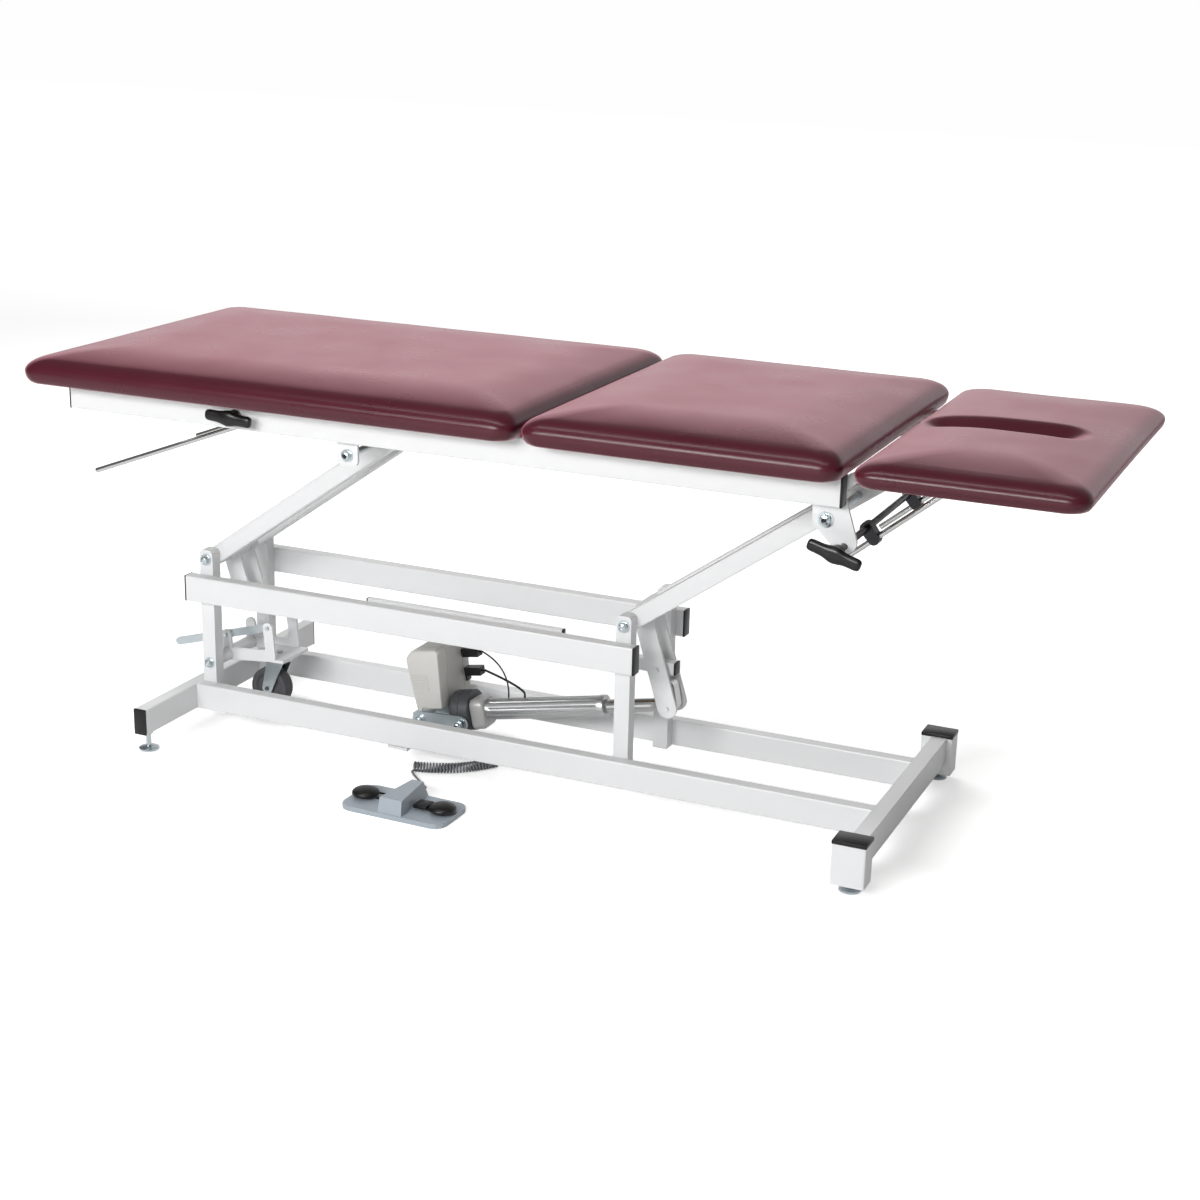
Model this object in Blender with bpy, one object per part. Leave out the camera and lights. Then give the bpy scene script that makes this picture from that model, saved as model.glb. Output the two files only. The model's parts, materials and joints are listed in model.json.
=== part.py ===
# Treatment table with a hi-lo lift, three padded sections, a caster and a foot control.
# Metres, +Z up, +X from the foot end to the head end, the viewer's side is -Y.

import math

import bmesh
import bpy
import numpy as np
from mathutils import Matrix, Vector

# Fits
ZERO = 0.0
ONE = 1.0
TWO = 2.0
HALF_share = 0.5
CODE_RANGE = 255
CODE_KNEE_share = 0.04045
CODE_SLOPE = 12.92
CODE_LIFT_share = 0.055
CODE_POWER = 2.4
PLACES = 9
FLAT_TURN = 1e-12
GAP = 0.0003
OVERRUN = 0.004
WELD = 0.0005
MERGE = 0.00002
ROUND_STEPS = 18
HULL_STEPS = 14
SMALL_STEPS = 10
TINY_STEPS = 4
CORNER_STEPS = 3
FULL_TURN = math.tau
QUARTER_TURN = math.pi / TWO

# Base rails, two by one inch tube
RAIL_Y = 0.1203
RAIL_WIDE = 0.0254
RAIL_TALL = 0.0508
RAIL_WALL = 0.002
RAIL_CORNER = 0.003
LOWER_RAIL_Z = 0.0611
LOWER_RAIL_X = (-0.7527, 0.5967)
UPPER_RAIL_Z = 0.2765
UPPER_RAIL_X = (-0.7685, 0.1527)

# Posts inboard of the rails
POST_X = (-0.7386, 0.1249)
POST_WIDE = 0.0286
POST_Y = (0.0819, 0.1073)
POST_Z = (0.0360, 0.3495)
POST_WALL = 0.002
POST_EAR_Z = 0.3040
POST_EAR_RADIUS = 0.008
PIVOT_Z = 0.3306
SHAFT_RADIUS = 0.0063
SHAFT_HALF = 0.1160

# Feet of the base
CROSS_BEAM_X = (-0.7792, -0.7530)
CROSS_BEAM_HALF = 0.2963
FOOT_BAR_X = (0.5970, 0.6250)
LEG_X = (0.5770, 0.6355)
LEG_Y = (0.2490, 0.2924)
LEG_Z = (0.0138, 0.0864)
LEG_FLOOR = 0.005
FOOT_RADIUS = 0.019
FOOT_PAD = 0.007
FOOT_NUT_RADIUS = 0.009
FOOT_NUT_TALL = 0.004
FOOT_STEM_RADIUS = 0.005
FOOT_STEM_TOP = 0.030
LEFT_FOOT_INSET = 0.022

# Lift arms
ARM_ANGLE = math.radians(35.22)
ARM_LENGTH = 0.4884
ARM_TALL = 0.0330
ARM_Y = (0.0435, 0.0816)
ARM_WALL = 0.002
ARM_TAIL = 0.0120
ARM_NOSE = 0.0450
TORQUE_RADIUS = 0.0190
TORQUE_HALF = 0.0432

# Cranks, tie tube and actuator rod end
CRANK_Y = (0.0205, 0.0265)
CRANK_RADIUS = 0.0185
CRANK_OFFSET = (0.0541, -0.1706)
TIE_share = 0.59
TIE_HALF = 0.0117
TIE_WALL = 0.002
TIE_TAIL = 0.027
PIN_RADIUS = 0.004
PIN_HALF = 0.0310
SLOT_RADIUS = 0.0075
SLOT_RISE = 0.0345
LUG_RADIUS = 0.0140
LUG_HALF = 0.0110

# Actuator, lying along a rising line through the lower crank pin
DRIVE_ANGLE = math.radians(11.2)
DRIVE_REACH = 0.4220
ROD_RADIUS = 0.0125
ROD_INSIDE = 0.1120
DRIVE_TUBE = (0.0479, 0.2910)
DRIVE_TUBE_RADIUS = 0.0200
DRIVE_BORE_RADIUS = 0.0130
DRIVE_FLUTES = 10
DRIVE_FLUTE_RADIUS = 0.0016
FLUTE_STEPS = 5
COLLAR_RADIUS = 0.0212
COLLAR_LENGTH = 0.0100
GEAR = (-0.0215, 0.0188)
GEAR_RADIUS = 0.0385
SLEEVE = (0.0180, 0.0479)
SLEEVE_HALF = 0.0290
SLEEVE_WIDE = 0.0270
SLEEVE_DROP = 0.0045
SLEEVE_CORNER = 0.0120
LINK_PIVOT = (-0.2290, 0.0642)
LINK_ANCHOR = (-0.3120, 0.0600)
LINK_RADIUS = 0.0165
LINK_Y = (0.0417, 0.0457)
LINK_LUG_RADIUS = 0.0135
LINK_LUG_HALF = 0.0385
LINK_PIN_RADIUS = 0.0050
CROSS_PLATE_X = (-0.3320, -0.2920)
CROSS_PLATE_Z = (0.0300, 0.0354)
BRACKET_BLOCK_X = (-0.3290, -0.2950)
BRACKET_BLOCK_Z = (0.0357, 0.0700)

# Control box, tipped like the actuator
BOX_CENTRE = (-0.3020, 0.1395)
BOX_TILT = math.radians(9.5)
BOX_TOP_HALF = 0.0350
BOX_BOTTOM_HALF = 0.0270
BOX_TALL = 0.1150
BOX_Y = (-0.0450, 0.0780)
BOX_BEVEL = 0.0060
BOX_TOP_CUT = 0.0150
PLUG_Y = 0.0550
PLUG_WIDE = 0.0200
PLUG_TALL = 0.0160
PLUG_OUT = 0.0340
MOTOR_PLUG_RISE = -0.0110
SENSOR_PLUG_RISE = 0.0260
BAR_X = (-0.4690, -0.0580)
BAR_Y = (0.0340, 0.0460)
BAR_Z = (0.2407, 0.2541)
BAR_POST_X = (-0.3060, -0.2960)
BAR_POST_FOOT = 0.1991
BOX_FOOT_X = (-0.3160, -0.3080)
BOX_FOOT_Y = (0.0419, 0.0449)

# Top frame
TOP_RAIL_X = (-0.8997, 0.5520)
TOP_RAIL_Y = 0.2653
TOP_RAIL_Z = 0.6647
TOP_PLATE_Y = (0.2476, 0.2531)
PLATE_BOLT = 0.0220
GUSSET_BOSS = (0.5560, 0.5800)
GUSSET_BOSS_RADIUS = 0.0205
GUSSET_TOP = ((0.5120, 0.6560), (0.5400, 0.6560))
HINGE_EAR = (0.5440, 0.6680)
GUSSET_TOP_RADIUS = 0.0120
HEAD_HINGE = (0.5740, 0.6900)
HEAD_HINGE_RADIUS = 0.0078
BRACKET_HALF = 0.0205
BRACKET_DROP = 0.0180
BRACKET_RISE = 0.0420
CROSS_TUBE_X = (-0.8400, 0.3100)
CROSS_TUBE_SIZE = 0.0254
CROSS_TUBE_Z = 0.6520
UPPER_SHAFT_HALF = 0.2600
HINGE_PIN_RADIUS = 0.0038
HINGE_PIN_HALF = 0.2560

# Padded sections
PAD_HALF = 0.3430
PAD_BOTTOM = 0.6904
LONG_PAD_X = (-0.9650, 0.0130)
MID_PAD_X = (0.0230, 0.5650)
HEAD_PAD_X = (0.5830, 0.9450)
PAD_TALL = 0.0580
HEAD_PAD_TALL = 0.0490
NOSE_share = 0.36
SLOPE_WIDE = 0.0780
TUCK_WIDE = 0.0120
TUCK_RINGS = 3
SLOPE_RINGS = 7
PAD_CORNER = 0.0300
PAD_CORNER_STEPS = 5
CROWN_EXTRA = 0.0030
CROWN_RINGS = 3
HEAD_SLOT_WIDE = 0.0720
HEAD_SLOT_X = (0.6120, 0.8620)
HEAD_SLOT_DEEP = 0.0250
BOARD_THICK = 0.0090
BOARD_INSET = 0.0240
BOARD_CORNER = 0.0200

# Hinge between the long and the middle section
LONG_HINGE = (0.0180, 0.7140)
LONG_TAB_HALF = 0.0038
LONG_TAB_FOOT = 0.6846
LONG_TAB_REACH = 0.0700
LONG_SEAT_REACH = 0.0360
LONG_TAB_Y = 0.2000
LONG_TAB_THICK = 0.0060
LONG_PIN_RADIUS = 0.0018
LONG_PIN_LENGTH = 0.0150

# Support rods of the long section
LONG_TAIL = (-0.9370, 0.4940)
LONG_ROD_ANGLE = math.radians(20.8)
LONG_ROD_Y = 0.1650
LONG_ROD_RADIUS = 0.0048
LONG_ELBOW_REACH = 0.4700
LONG_ELBOW_STEPS = 5
LONG_ELBOW_share = 0.08
LONG_SHAFT = (-0.5468, 0.6643)
LONG_EYE_CLEAR = 0.0042
LONG_PIVOT = (-0.0200, 0.6500)
CLAMP_SHAFT_RADIUS = 0.0058
EYE_RADIUS = 0.0110
EYE_HALF = 0.0090
EYE_CUT_HALF = 0.0270
CLAMP_REAR = 0.2860
LONG_HANDLE_Y = 0.2950
HANDLE_HALF = 0.0375
HANDLE_HUB_RADIUS = 0.0130
HANDLE_TIP_RADIUS = 0.0085
HANDLE_THICK = 0.0170
HANDLE_HUB_LENGTH = 0.0130
HANDLE_LIP = 0.0009
LONG_HANDLE_ANGLE = math.radians(-4.0)
LONG_LUG_Y = 0.1440
LONG_LUG_X = -0.0330
LUG_THICK = 0.0060
LUG_BOARD_HALF = 0.0200
LUG_EYE_RADIUS = 0.0100

# Support rods of the head section
HEAD_TAIL = (0.5080, 0.5050)
HEAD_ROD_ANGLE = math.radians(39.2)
HEAD_ROD_Y = 0.1250
HEAD_ROD_RADIUS = 0.0048
HEAD_SHAFT = (0.5560, 0.5720)
HEAD_EYE_CLEAR = 0.0010
HEAD_PIVOT_REACH = 0.2700
HEAD_LUG_Y = 0.1040
HEAD_CLAMP_REAR = 0.2600
HEAD_HANDLE_Y = 0.2950
HEAD_HANDLE_ANGLE = math.radians(-17.0)
KNUCKLE_Y = 0.2150
KNUCKLE_THICK = 0.0200

# Caster and its lever
CASTER_SHAFT = (-0.7386, 0.1234)
HUB_RADIUS = 0.0130
HUB_HALF = 0.0800
SIDE_ARM_Y = (0.0400, 0.0460)
SIDE_ARM_END = (-0.6400, 0.1330)
SIDE_ARM_RADIUS = 0.0110
MOUNT_X = (-0.6850, -0.6120)
MOUNT_Z = (0.1212, 0.1270)
MOUNT_HALF = 0.0465
SWIVEL_X = -0.6480
SWIVEL_RADIUS = 0.0060
SWIVEL_TOP = 0.1310
FORK_DISC_RADIUS = 0.0270
FORK_DISC_Z = (0.1125, 0.1209)
FORK_TOP_HALF = 0.0180
FORK_Y = (0.0170, 0.0195)
FORK_END_RADIUS = 0.0110
WHEEL_CENTRE = (-0.6670, 0.0540)
WHEEL_RADIUS = 0.0400
WHEEL_STEPS = 26
WHEEL_HALF = 0.0150
WHEEL_EDGE = 0.0050
WHEEL_RIM_RADIUS = 0.0275
WHEEL_DISH = 0.0040
WHEEL_HUB_RADIUS = 0.0100
WHEEL_HUB_HALF = 0.0166
AXLE_RADIUS = 0.0040
AXLE_HALF = 0.0215
STRUT_TOP = (-0.6455, 0.1894)
STRUT_RADIUS = 0.0105
UPRIGHT_TOP = (-0.7414, 0.1616)
BAR_LEFT = (-0.8560, 0.1284)
BAR_SIDE_Y = (-0.0395, -0.0335)
BAR_END_RADIUS = 0.0075
BAR_PIN_RADIUS = 0.0035
BAR_PIN_END = -0.0500

# Foot control on the floor
PEDAL_CENTRE = (-0.2015, -0.3085)
PEDAL_TURN = math.radians(-1.2)
PEDAL_LONG = 0.2070
PEDAL_DEEP = 0.1070
PEDAL_BASE_TALL = 0.0090
PEDAL_CORNER = 0.0220
PEDAL_BLOCK_FOOT = ((0.0240, -0.0530), (0.0195, 0.0585))
PEDAL_BLOCK_HEAD = ((0.0220, -0.0455), (0.0115, 0.0495))
PEDAL_BLOCK_TALL = 0.0360
BUTTON_OUT = 0.0780
BUTTON_RADIUS = 0.0245
BUTTON_Z = (0.0130, 0.0260)
BUTTON_CROWN_share = 0.4
BUTTON_STEM_RADIUS = 0.0080
BUTTON_WELL = 0.0030
BUTTON_STEM_FOOT = 0.0062
GLAND_OUT = 0.0070
GLAND_RADIUS = 0.0050
GLAND_Z = 0.0240

# Curly cord on the floor
CORD_RADIUS = 0.0021
CORD_STRAIGHT = 0.0042
CORD_TURN = 0.0252
COIL_LEAD = 0.0105
COIL_RADIUS = 0.0079
COIL_START = (-0.2697, -0.1485)
COIL_MIDDLE = (-0.2110, -0.1285)
COIL_STOP = (-0.1440, -0.0620)
COIL_PITCH = 0.0058
COIL_POINTS = 8
CORD_FLOOR = 0.0024
COIL_FLOOR = 0.0103
FLOOR_BEND = (-0.1900, 0.0500)
BOX_GLAND = (-0.2860, 0.0600)
BOX_GLAND_DROP = 0.0110
CABLE_RADIUS = 0.0022
SENSOR_RADIUS = 0.0016
CABLE_STRAIGHT = 0.0060
CABLE_POINTS = 14
MOTOR_CABLE_REACH = 0.1260
SENSOR_CABLE_REACH = 0.0920


# %% Scene and material helpers
def clear_scene():
    for item in list(bpy.data.objects):
        bpy.data.objects.remove(item, do_unlink=True)


clear_scene()
PART = bpy.data.collections.new("treatment_table")
TOOLS = bpy.data.collections.new("cutters")
bpy.context.scene.collection.children.link(PART)
bpy.context.scene.collection.children.link(TOOLS)
TOOLS.hide_render = True
ROOT = bpy.data.objects.new("table_centre", None)
PART.objects.link(ROOT)


def linear(hex_code):
    values = []
    for start in range(0, len(hex_code), 2):
        share = int(hex_code[start:start + 2], 16) / CODE_RANGE
        lifted = ((share + CODE_LIFT_share) / (ONE + CODE_LIFT_share)) ** CODE_POWER
        values.append(share / CODE_SLOPE if share <= CODE_KNEE_share else lifted)
    return (*values, ONE)


def material(name, hex_code, roughness, metallic):
    item = bpy.data.materials.new(name)
    item.use_nodes = True
    shader = item.node_tree.nodes["Principled BSDF"]
    shader.inputs["Base Color"].default_value = linear(hex_code)
    shader.inputs["Roughness"].default_value = roughness
    shader.inputs["Metallic"].default_value = metallic
    item.diffuse_color = linear(hex_code)
    return item


def white_paint(name):
    return material(name + "_paint", "E6E6E6", 0.38, ZERO)


def zinc(name):
    return material(name + "_zinc", "B9C0C2", 0.32, ONE)


def chrome(name):
    return material(name + "_chrome", "D5D5D5", 0.12, ONE)


def vinyl(name):
    return material(name + "_vinyl", "6D3542", 0.35, ZERO)


def plywood(name):
    return material(name + "_plywood", "B79B73", 0.7, ZERO)


def black_plastic(name):
    return material(name + "_black", "17171A", 0.4, ZERO)


def grey_plastic(name):
    return material(name + "_grey", "C2C1BC", 0.5, ZERO)


def pedal_plastic(name):
    return material(name + "_bluegrey", "A7AFB6", 0.45, ZERO)


def cord_rubber(name):
    return material(name + "_cord", "4A4B4D", 0.5, ZERO)


def aluminium(name):
    return material(name + "_aluminium", "C9CCD6", 0.3, ONE)


def tyre_rubber(name):
    return material(name + "_tyre", "4C4C50", 0.6, ZERO)


# %% Outline helpers, each gives one closed loop of points
def circle(centre, radius, steps=ROUND_STEPS):
    turn = [FULL_TURN * k / steps for k in range(steps)]
    return [(centre[0] + radius * math.cos(t), centre[1] + radius * math.sin(t)) for t in turn]


def rounded_box(u, v, radius, steps=CORNER_STEPS):
    centres = ((u[1] - radius, v[1] - radius), (u[0] + radius, v[1] - radius),
               (u[0] + radius, v[0] + radius), (u[1] - radius, v[0] + radius))
    points = []
    for quarter, (cu, cv) in enumerate(centres):
        for k in range(steps + 1):
            turn = QUARTER_TURN * (quarter + k / steps)
            points.append((cu + radius * math.cos(turn), cv + radius * math.sin(turn)))
    return points


def plain_box(u, v):
    return [(u[1], v[1]), (u[0], v[1]), (u[0], v[0]), (u[1], v[0])]


def hull(circles, steps=HULL_STEPS):
    cloud = []
    for centre, radius in circles:
        cloud.extend(circle(centre, radius, steps if radius > WELD else TINY_STEPS))
    cloud = sorted(set((round(a, PLACES), round(b, PLACES)) for a, b in cloud))

    def half(points):
        chain = []
        for p in points:
            while len(chain) > 1 and turn_of(chain[-2], chain[-1], p) <= FLAT_TURN:
                chain.pop()
            chain.append(p)
        return chain[:-1]

    return half(cloud) + half(cloud[::-1])


def turn_of(a, b, c):
    return (b[0] - a[0]) * (c[1] - a[1]) - (b[1] - a[1]) * (c[0] - a[0])


# %% Solid helpers, each gives a mesh in table coordinates
SIDE = {
    "XY": Matrix(((1, 0, 0, 0), (0, 1, 0, 0), (0, 0, 1, 0), (0, 0, 0, 1))),
    "XZ": Matrix(((1, 0, 0, 0), (0, 0, -1, 0), (0, 1, 0, 0), (0, 0, 0, 1))),
    "YZ": Matrix(((0, 0, 1, 0), (1, 0, 0, 0), (0, 1, 0, 0), (0, 0, 0, 1))),
}
NORMAL = {"XY": Vector((0, 0, 1)), "XZ": Vector((0, 1, 0)), "YZ": Vector((1, 0, 0))}


def tidy(mesh):
    bmesh.ops.remove_doubles(mesh, verts=mesh.verts, dist=MERGE)
    bmesh.ops.recalc_face_normals(mesh, faces=mesh.faces)
    return mesh


def slab(loops, side, near, far, place=None):
    curve = bpy.data.curves.new("outline", "CURVE")
    curve.dimensions = "2D"
    curve.fill_mode = "BOTH"
    curve.extrude = (far - near) / TWO
    for loop in loops:
        spline = curve.splines.new("POLY")
        spline.points.add(len(loop) - 1)
        for point, (u, v) in zip(spline.points, loop):
            point.co = (u, v, ZERO, ONE)
        spline.use_cyclic_u = True
    holder = bpy.data.objects.new("outline", curve)
    data = bpy.data.meshes.new_from_object(holder)
    bpy.data.objects.remove(holder, do_unlink=True)
    mesh = bmesh.new()
    mesh.from_mesh(data)
    bpy.data.meshes.remove(data)
    bpy.data.curves.remove(curve)
    middle = Matrix.Translation(NORMAL[side] * ((near + far) / TWO))
    mesh.transform((place or Matrix()) @ middle @ SIDE[side])
    return tidy(mesh)


def bar(start, stop, radius, end_radius=None, steps=ROUND_STEPS):
    start, stop = Vector(start), Vector(stop)
    along = stop - start
    mesh = bmesh.new()
    bmesh.ops.create_cone(mesh, cap_ends=True, segments=steps, radius1=radius,
                          radius2=radius if end_radius is None else end_radius,
                          depth=along.length)
    turn = Vector((0, 0, 1)).rotation_difference(along).to_matrix().to_4x4()
    mesh.transform(Matrix.Translation((start + stop) / TWO) @ turn)
    return tidy(mesh)


def across(centre, radius, near, far, steps=ROUND_STEPS):
    return bar((centre[0], near, centre[1]), (centre[0], far, centre[1]), radius, None, steps)


def turned(profile, steps=ROUND_STEPS):
    mesh = bmesh.new()
    verts = [mesh.verts.new((r, ZERO, z)) for r, z in profile]
    edges = [mesh.edges.new(pair) for pair in zip(verts, verts[1:])]
    bmesh.ops.spin(mesh, geom=verts + edges, cent=(0, 0, 0), axis=(0, 0, 1),
                   angle=FULL_TURN, steps=steps, use_merge=True)
    return tidy(mesh)


def merged(*meshes):
    whole = bmesh.new()
    for mesh in meshes:
        data = bpy.data.meshes.new("scratch")
        mesh.to_mesh(data)
        mesh.free()
        whole.from_mesh(data)
        bpy.data.meshes.remove(data)
    return whole


def wire(points, radius, resolution):
    curve = bpy.data.curves.new("wire", "CURVE")
    curve.dimensions = "3D"
    curve.bevel_depth = radius
    curve.bevel_resolution = resolution
    curve.use_fill_caps = True
    curve.twist_mode = "MINIMUM"
    spline = curve.splines.new("POLY")
    spline.points.add(len(points) - 1)
    for point, place in zip(spline.points, points):
        point.co = (*place, ONE)
    holder = bpy.data.objects.new("wire", curve)
    data = bpy.data.meshes.new_from_object(holder)
    bpy.data.objects.remove(holder, do_unlink=True)
    mesh = bmesh.new()
    mesh.from_mesh(data)
    bpy.data.meshes.remove(data)
    bpy.data.curves.remove(curve)
    return tidy(mesh)


# %% Object helpers
def add_object(name, mesh, origin, collection):
    mesh.transform(Matrix.Translation(-Vector(origin)))
    data = bpy.data.meshes.new(name)
    mesh.to_mesh(data)
    mesh.free()
    item = bpy.data.objects.new(name, data)
    item.parent = ROOT
    item.location = origin
    collection.objects.link(item)
    return item


def piece(name, mesh, look, origin=(0, 0, 0), smooth=False):
    item = add_object(name, mesh, origin, PART)
    item.data.materials.append(look(name))
    if smooth:
        item.data.shade_smooth()
    return item


def change(item, kind, mesh):
    tool = add_object(item.name + "_" + kind.lower(), mesh, (0, 0, 0), TOOLS)
    tool.display_type = "WIRE"
    tool.hide_render = True
    step = item.modifiers.new(kind.lower(), "BOOLEAN")
    step.operation = kind
    step.solver = "EXACT"
    step.object = tool
    return item


def cut(item, *meshes):
    for mesh in meshes:
        change(item, "DIFFERENCE", mesh)
    return item


def weld(item, *meshes):
    for mesh in meshes:
        change(item, "UNION", mesh)
    return item


def rail(name, x, y, z, wide=RAIL_WIDE, tall=RAIL_TALL, look=white_paint):
    u = (y - wide / TWO, y + wide / TWO)
    v = (z - tall / TWO, z + tall / TWO)
    inner_u = (u[0] + RAIL_WALL, u[1] - RAIL_WALL)
    inner_v = (v[0] + RAIL_WALL, v[1] - RAIL_WALL)
    loops = [rounded_box(u, v, RAIL_CORNER, 2), plain_box(inner_u, inner_v)]
    return piece(name, slab(loops, "YZ", x[0], x[1]), look, (x[0], y, z))


SIDES = (("front", -1), ("rear", 1))


def band(y, sign):
    return tuple(sorted((sign * y[0], sign * y[1])))


# %% Base frame
def base_rails():
    for word, sign in SIDES:
        rail("lower_rail_" + word, LOWER_RAIL_X, sign * RAIL_Y, LOWER_RAIL_Z)
        rail("upper_rail_" + word, UPPER_RAIL_X, sign * RAIL_Y, UPPER_RAIL_Z)


def post(name, x, sign):
    y = band(POST_Y, sign)
    u = (x - POST_WIDE / TWO, x + POST_WIDE / TWO)
    item = piece(name, slab([ear_outline(u)], "XZ", *y), white_paint, (x, y[0], POST_Z[0]))
    hollow_u = (u[0] + POST_WALL, u[1] - POST_WALL)
    hollow_y = (y[0] + POST_WALL, y[1] - POST_WALL)
    cut(item, slab([plain_box(hollow_u, hollow_y)], "XY", POST_Z[0] - OVERRUN, POST_EAR_Z))
    cut(item, across((x, PIVOT_Z), SHAFT_RADIUS + GAP, y[0] - OVERRUN, y[1] + OVERRUN))
    return item


def ear_outline(u):
    outline = rounded_box(u, POST_Z, POST_EAR_RADIUS)
    square = plain_box(u, POST_Z)
    return outline[:2 * (CORNER_STEPS + 1)] + square[2:]


def posts():
    for word, sign in SIDES:
        left = post("left_post_" + word, POST_X[0], sign)
        y = band(POST_Y, sign)
        cut(left, across(CASTER_SHAFT, SHAFT_RADIUS + GAP, y[0] - OVERRUN, y[1] + OVERRUN))
        post("right_post_" + word, POST_X[1], sign)


def cross_beam():
    v = (LOWER_RAIL_Z - RAIL_TALL / TWO, LOWER_RAIL_Z + RAIL_TALL / TWO)
    inner_u = (CROSS_BEAM_X[0] + RAIL_WALL, CROSS_BEAM_X[1] - RAIL_WALL)
    inner_v = (v[0] + RAIL_WALL, v[1] - RAIL_WALL)
    loops = [rounded_box(CROSS_BEAM_X, v, RAIL_CORNER, 2), plain_box(inner_u, inner_v)]
    beam = slab(loops, "XZ", -CROSS_BEAM_HALF, CROSS_BEAM_HALF)
    item = piece("left_cross_beam", beam, white_paint)
    for word, sign in SIDES:
        centre = (left_foot_x(), sign * (CROSS_BEAM_HALF - LEFT_FOOT_INSET))
        cut(item, stem_hole(centre, v[0]))


def left_foot_x():
    return (CROSS_BEAM_X[0] + CROSS_BEAM_X[1]) / TWO


def stem_hole(centre, bottom):
    top = bottom + LEG_FLOOR + OVERRUN
    radius = FOOT_STEM_RADIUS + GAP
    return bar((*centre, bottom - OVERRUN), (*centre, top), radius, None, SMALL_STEPS)


def foot_frame():
    v = (LOWER_RAIL_Z - RAIL_TALL / TWO, LOWER_RAIL_Z + RAIL_TALL / TWO)
    half = LEG_Y[0] + RAIL_CORNER
    item = piece("right_foot_frame", slab([plain_box(FOOT_BAR_X, v)], "XZ", -half, half), white_paint)
    for word, sign in SIDES:
        y = band(LEG_Y, sign)
        weld(item, slab([rounded_box(LEG_X, y, RAIL_CORNER, 2)], "XY", *LEG_Z))
        hollow_x = (LEG_X[0] + RAIL_WALL, LEG_X[1] - RAIL_WALL)
        hollow_y = (y[0] + RAIL_WALL, y[1] - RAIL_WALL)
        reach = (LEG_Z[0] + LEG_FLOOR, LEG_Z[1] + OVERRUN)
        cut(item, slab([plain_box(hollow_x, hollow_y)], "XY", *reach))
        cut(item, stem_hole((right_foot_x(), (y[0] + y[1]) / TWO), LEG_Z[0]))


def right_foot_x():
    return (LEG_X[0] + LEG_X[1]) / TWO


def foot(name, centre, under):
    nut_top = under - GAP
    nut_foot = nut_top - FOOT_NUT_TALL
    profile = [(ZERO, ZERO), (FOOT_RADIUS, ZERO), (FOOT_RADIUS, FOOT_PAD * HALF_share),
               (FOOT_STEM_RADIUS, FOOT_PAD), (FOOT_STEM_RADIUS, nut_foot), (FOOT_NUT_RADIUS, nut_foot),
               (FOOT_NUT_RADIUS, nut_top), (FOOT_STEM_RADIUS, nut_top),
               (FOOT_STEM_RADIUS, under + FOOT_STEM_TOP), (ZERO, under + FOOT_STEM_TOP)]
    mesh = turned(profile, HULL_STEPS)
    mesh.transform(Matrix.Translation((*centre, ZERO)))
    piece(name, mesh, zinc, (*centre, ZERO))


def feet():
    for word, sign in SIDES:
        left = (left_foot_x(), sign * (CROSS_BEAM_HALF - LEFT_FOOT_INSET))
        foot("foot_left_" + word, left, LOWER_RAIL_Z - RAIL_TALL / TWO)
        right = (right_foot_x(), sign * (LEG_Y[0] + LEG_Y[1]) / TWO)
        foot("foot_right_" + word, right, LEG_Z[0])


def shafts():
    for word, x in zip(("left", "right"), POST_X):
        mesh = across((x, PIVOT_Z), SHAFT_RADIUS, -SHAFT_HALF, SHAFT_HALF)
        piece(word + "_pivot_shaft", mesh, zinc, (x, ZERO, PIVOT_Z), True)
    mesh = across(CASTER_SHAFT, SHAFT_RADIUS, -SHAFT_HALF, SHAFT_HALF)
    piece("caster_shaft", mesh, zinc, (CASTER_SHAFT[0], ZERO, CASTER_SHAFT[1]), True)


# %% Lift arms, cranks and tie tube
def arm_place(x):
    turn = Matrix.Rotation(-ARM_ANGLE, 4, "Y")
    return Matrix.Translation((x, ZERO, PIVOT_Z)) @ turn


def arm(name, x, sign):
    y = band(ARM_Y, sign)
    v = (-ARM_TALL / TWO, ARM_TALL / TWO)
    inner_y = (y[0] + ARM_WALL, y[1] - ARM_WALL)
    inner_v = (v[0] + ARM_WALL, v[1] - ARM_WALL)
    loops = [rounded_box(y, v, RAIL_CORNER, 2), plain_box(inner_y, inner_v)]
    place = arm_place(x)
    mesh = slab(loops, "YZ", -ARM_TAIL, ARM_LENGTH + ARM_NOSE, place)
    item = piece(name, mesh, white_paint, (x, ZERO, PIVOT_Z))
    for reach in (ZERO, ARM_LENGTH):
        centre = place @ Vector((reach, ZERO, ZERO))
        hole = across((centre.x, centre.z), SHAFT_RADIUS + GAP, y[0] - OVERRUN, y[1] + OVERRUN)
        cut(item, hole)


def crank_point(x, share):
    return (x + CRANK_OFFSET[0] * share, PIVOT_Z + CRANK_OFFSET[1] * share)


def torque_tube(name, x, reach_share):
    centre = (x, PIVOT_Z)
    tube = slab([circle(centre, TORQUE_RADIUS)], "XZ", -TORQUE_HALF, TORQUE_HALF)
    item = piece(name, tube, white_paint, (x, ZERO, PIVOT_Z))
    tip = crank_point(x, reach_share)
    for word, sign in SIDES:
        outline = hull([(centre, CRANK_RADIUS), (tip, CRANK_RADIUS)])
        weld(item, slab([outline], "XZ", *band(CRANK_Y, sign)))
    cut(item, across(centre, SHAFT_RADIUS + GAP, -TORQUE_HALF - OVERRUN, TORQUE_HALF + OVERRUN))
    tie = crank_point(x, TIE_share)
    cut(item, across(tie, PIN_RADIUS + GAP, -PIN_HALF, PIN_HALF, SMALL_STEPS))
    return item


def cranks():
    torque_tube("left_torque_tube", POST_X[0], TIE_share)
    right = torque_tube("right_torque_tube", POST_X[1], ONE)
    weld(right, across(crank_point(POST_X[1], ONE), PIN_RADIUS, -PIN_HALF, PIN_HALF, SMALL_STEPS))


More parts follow.
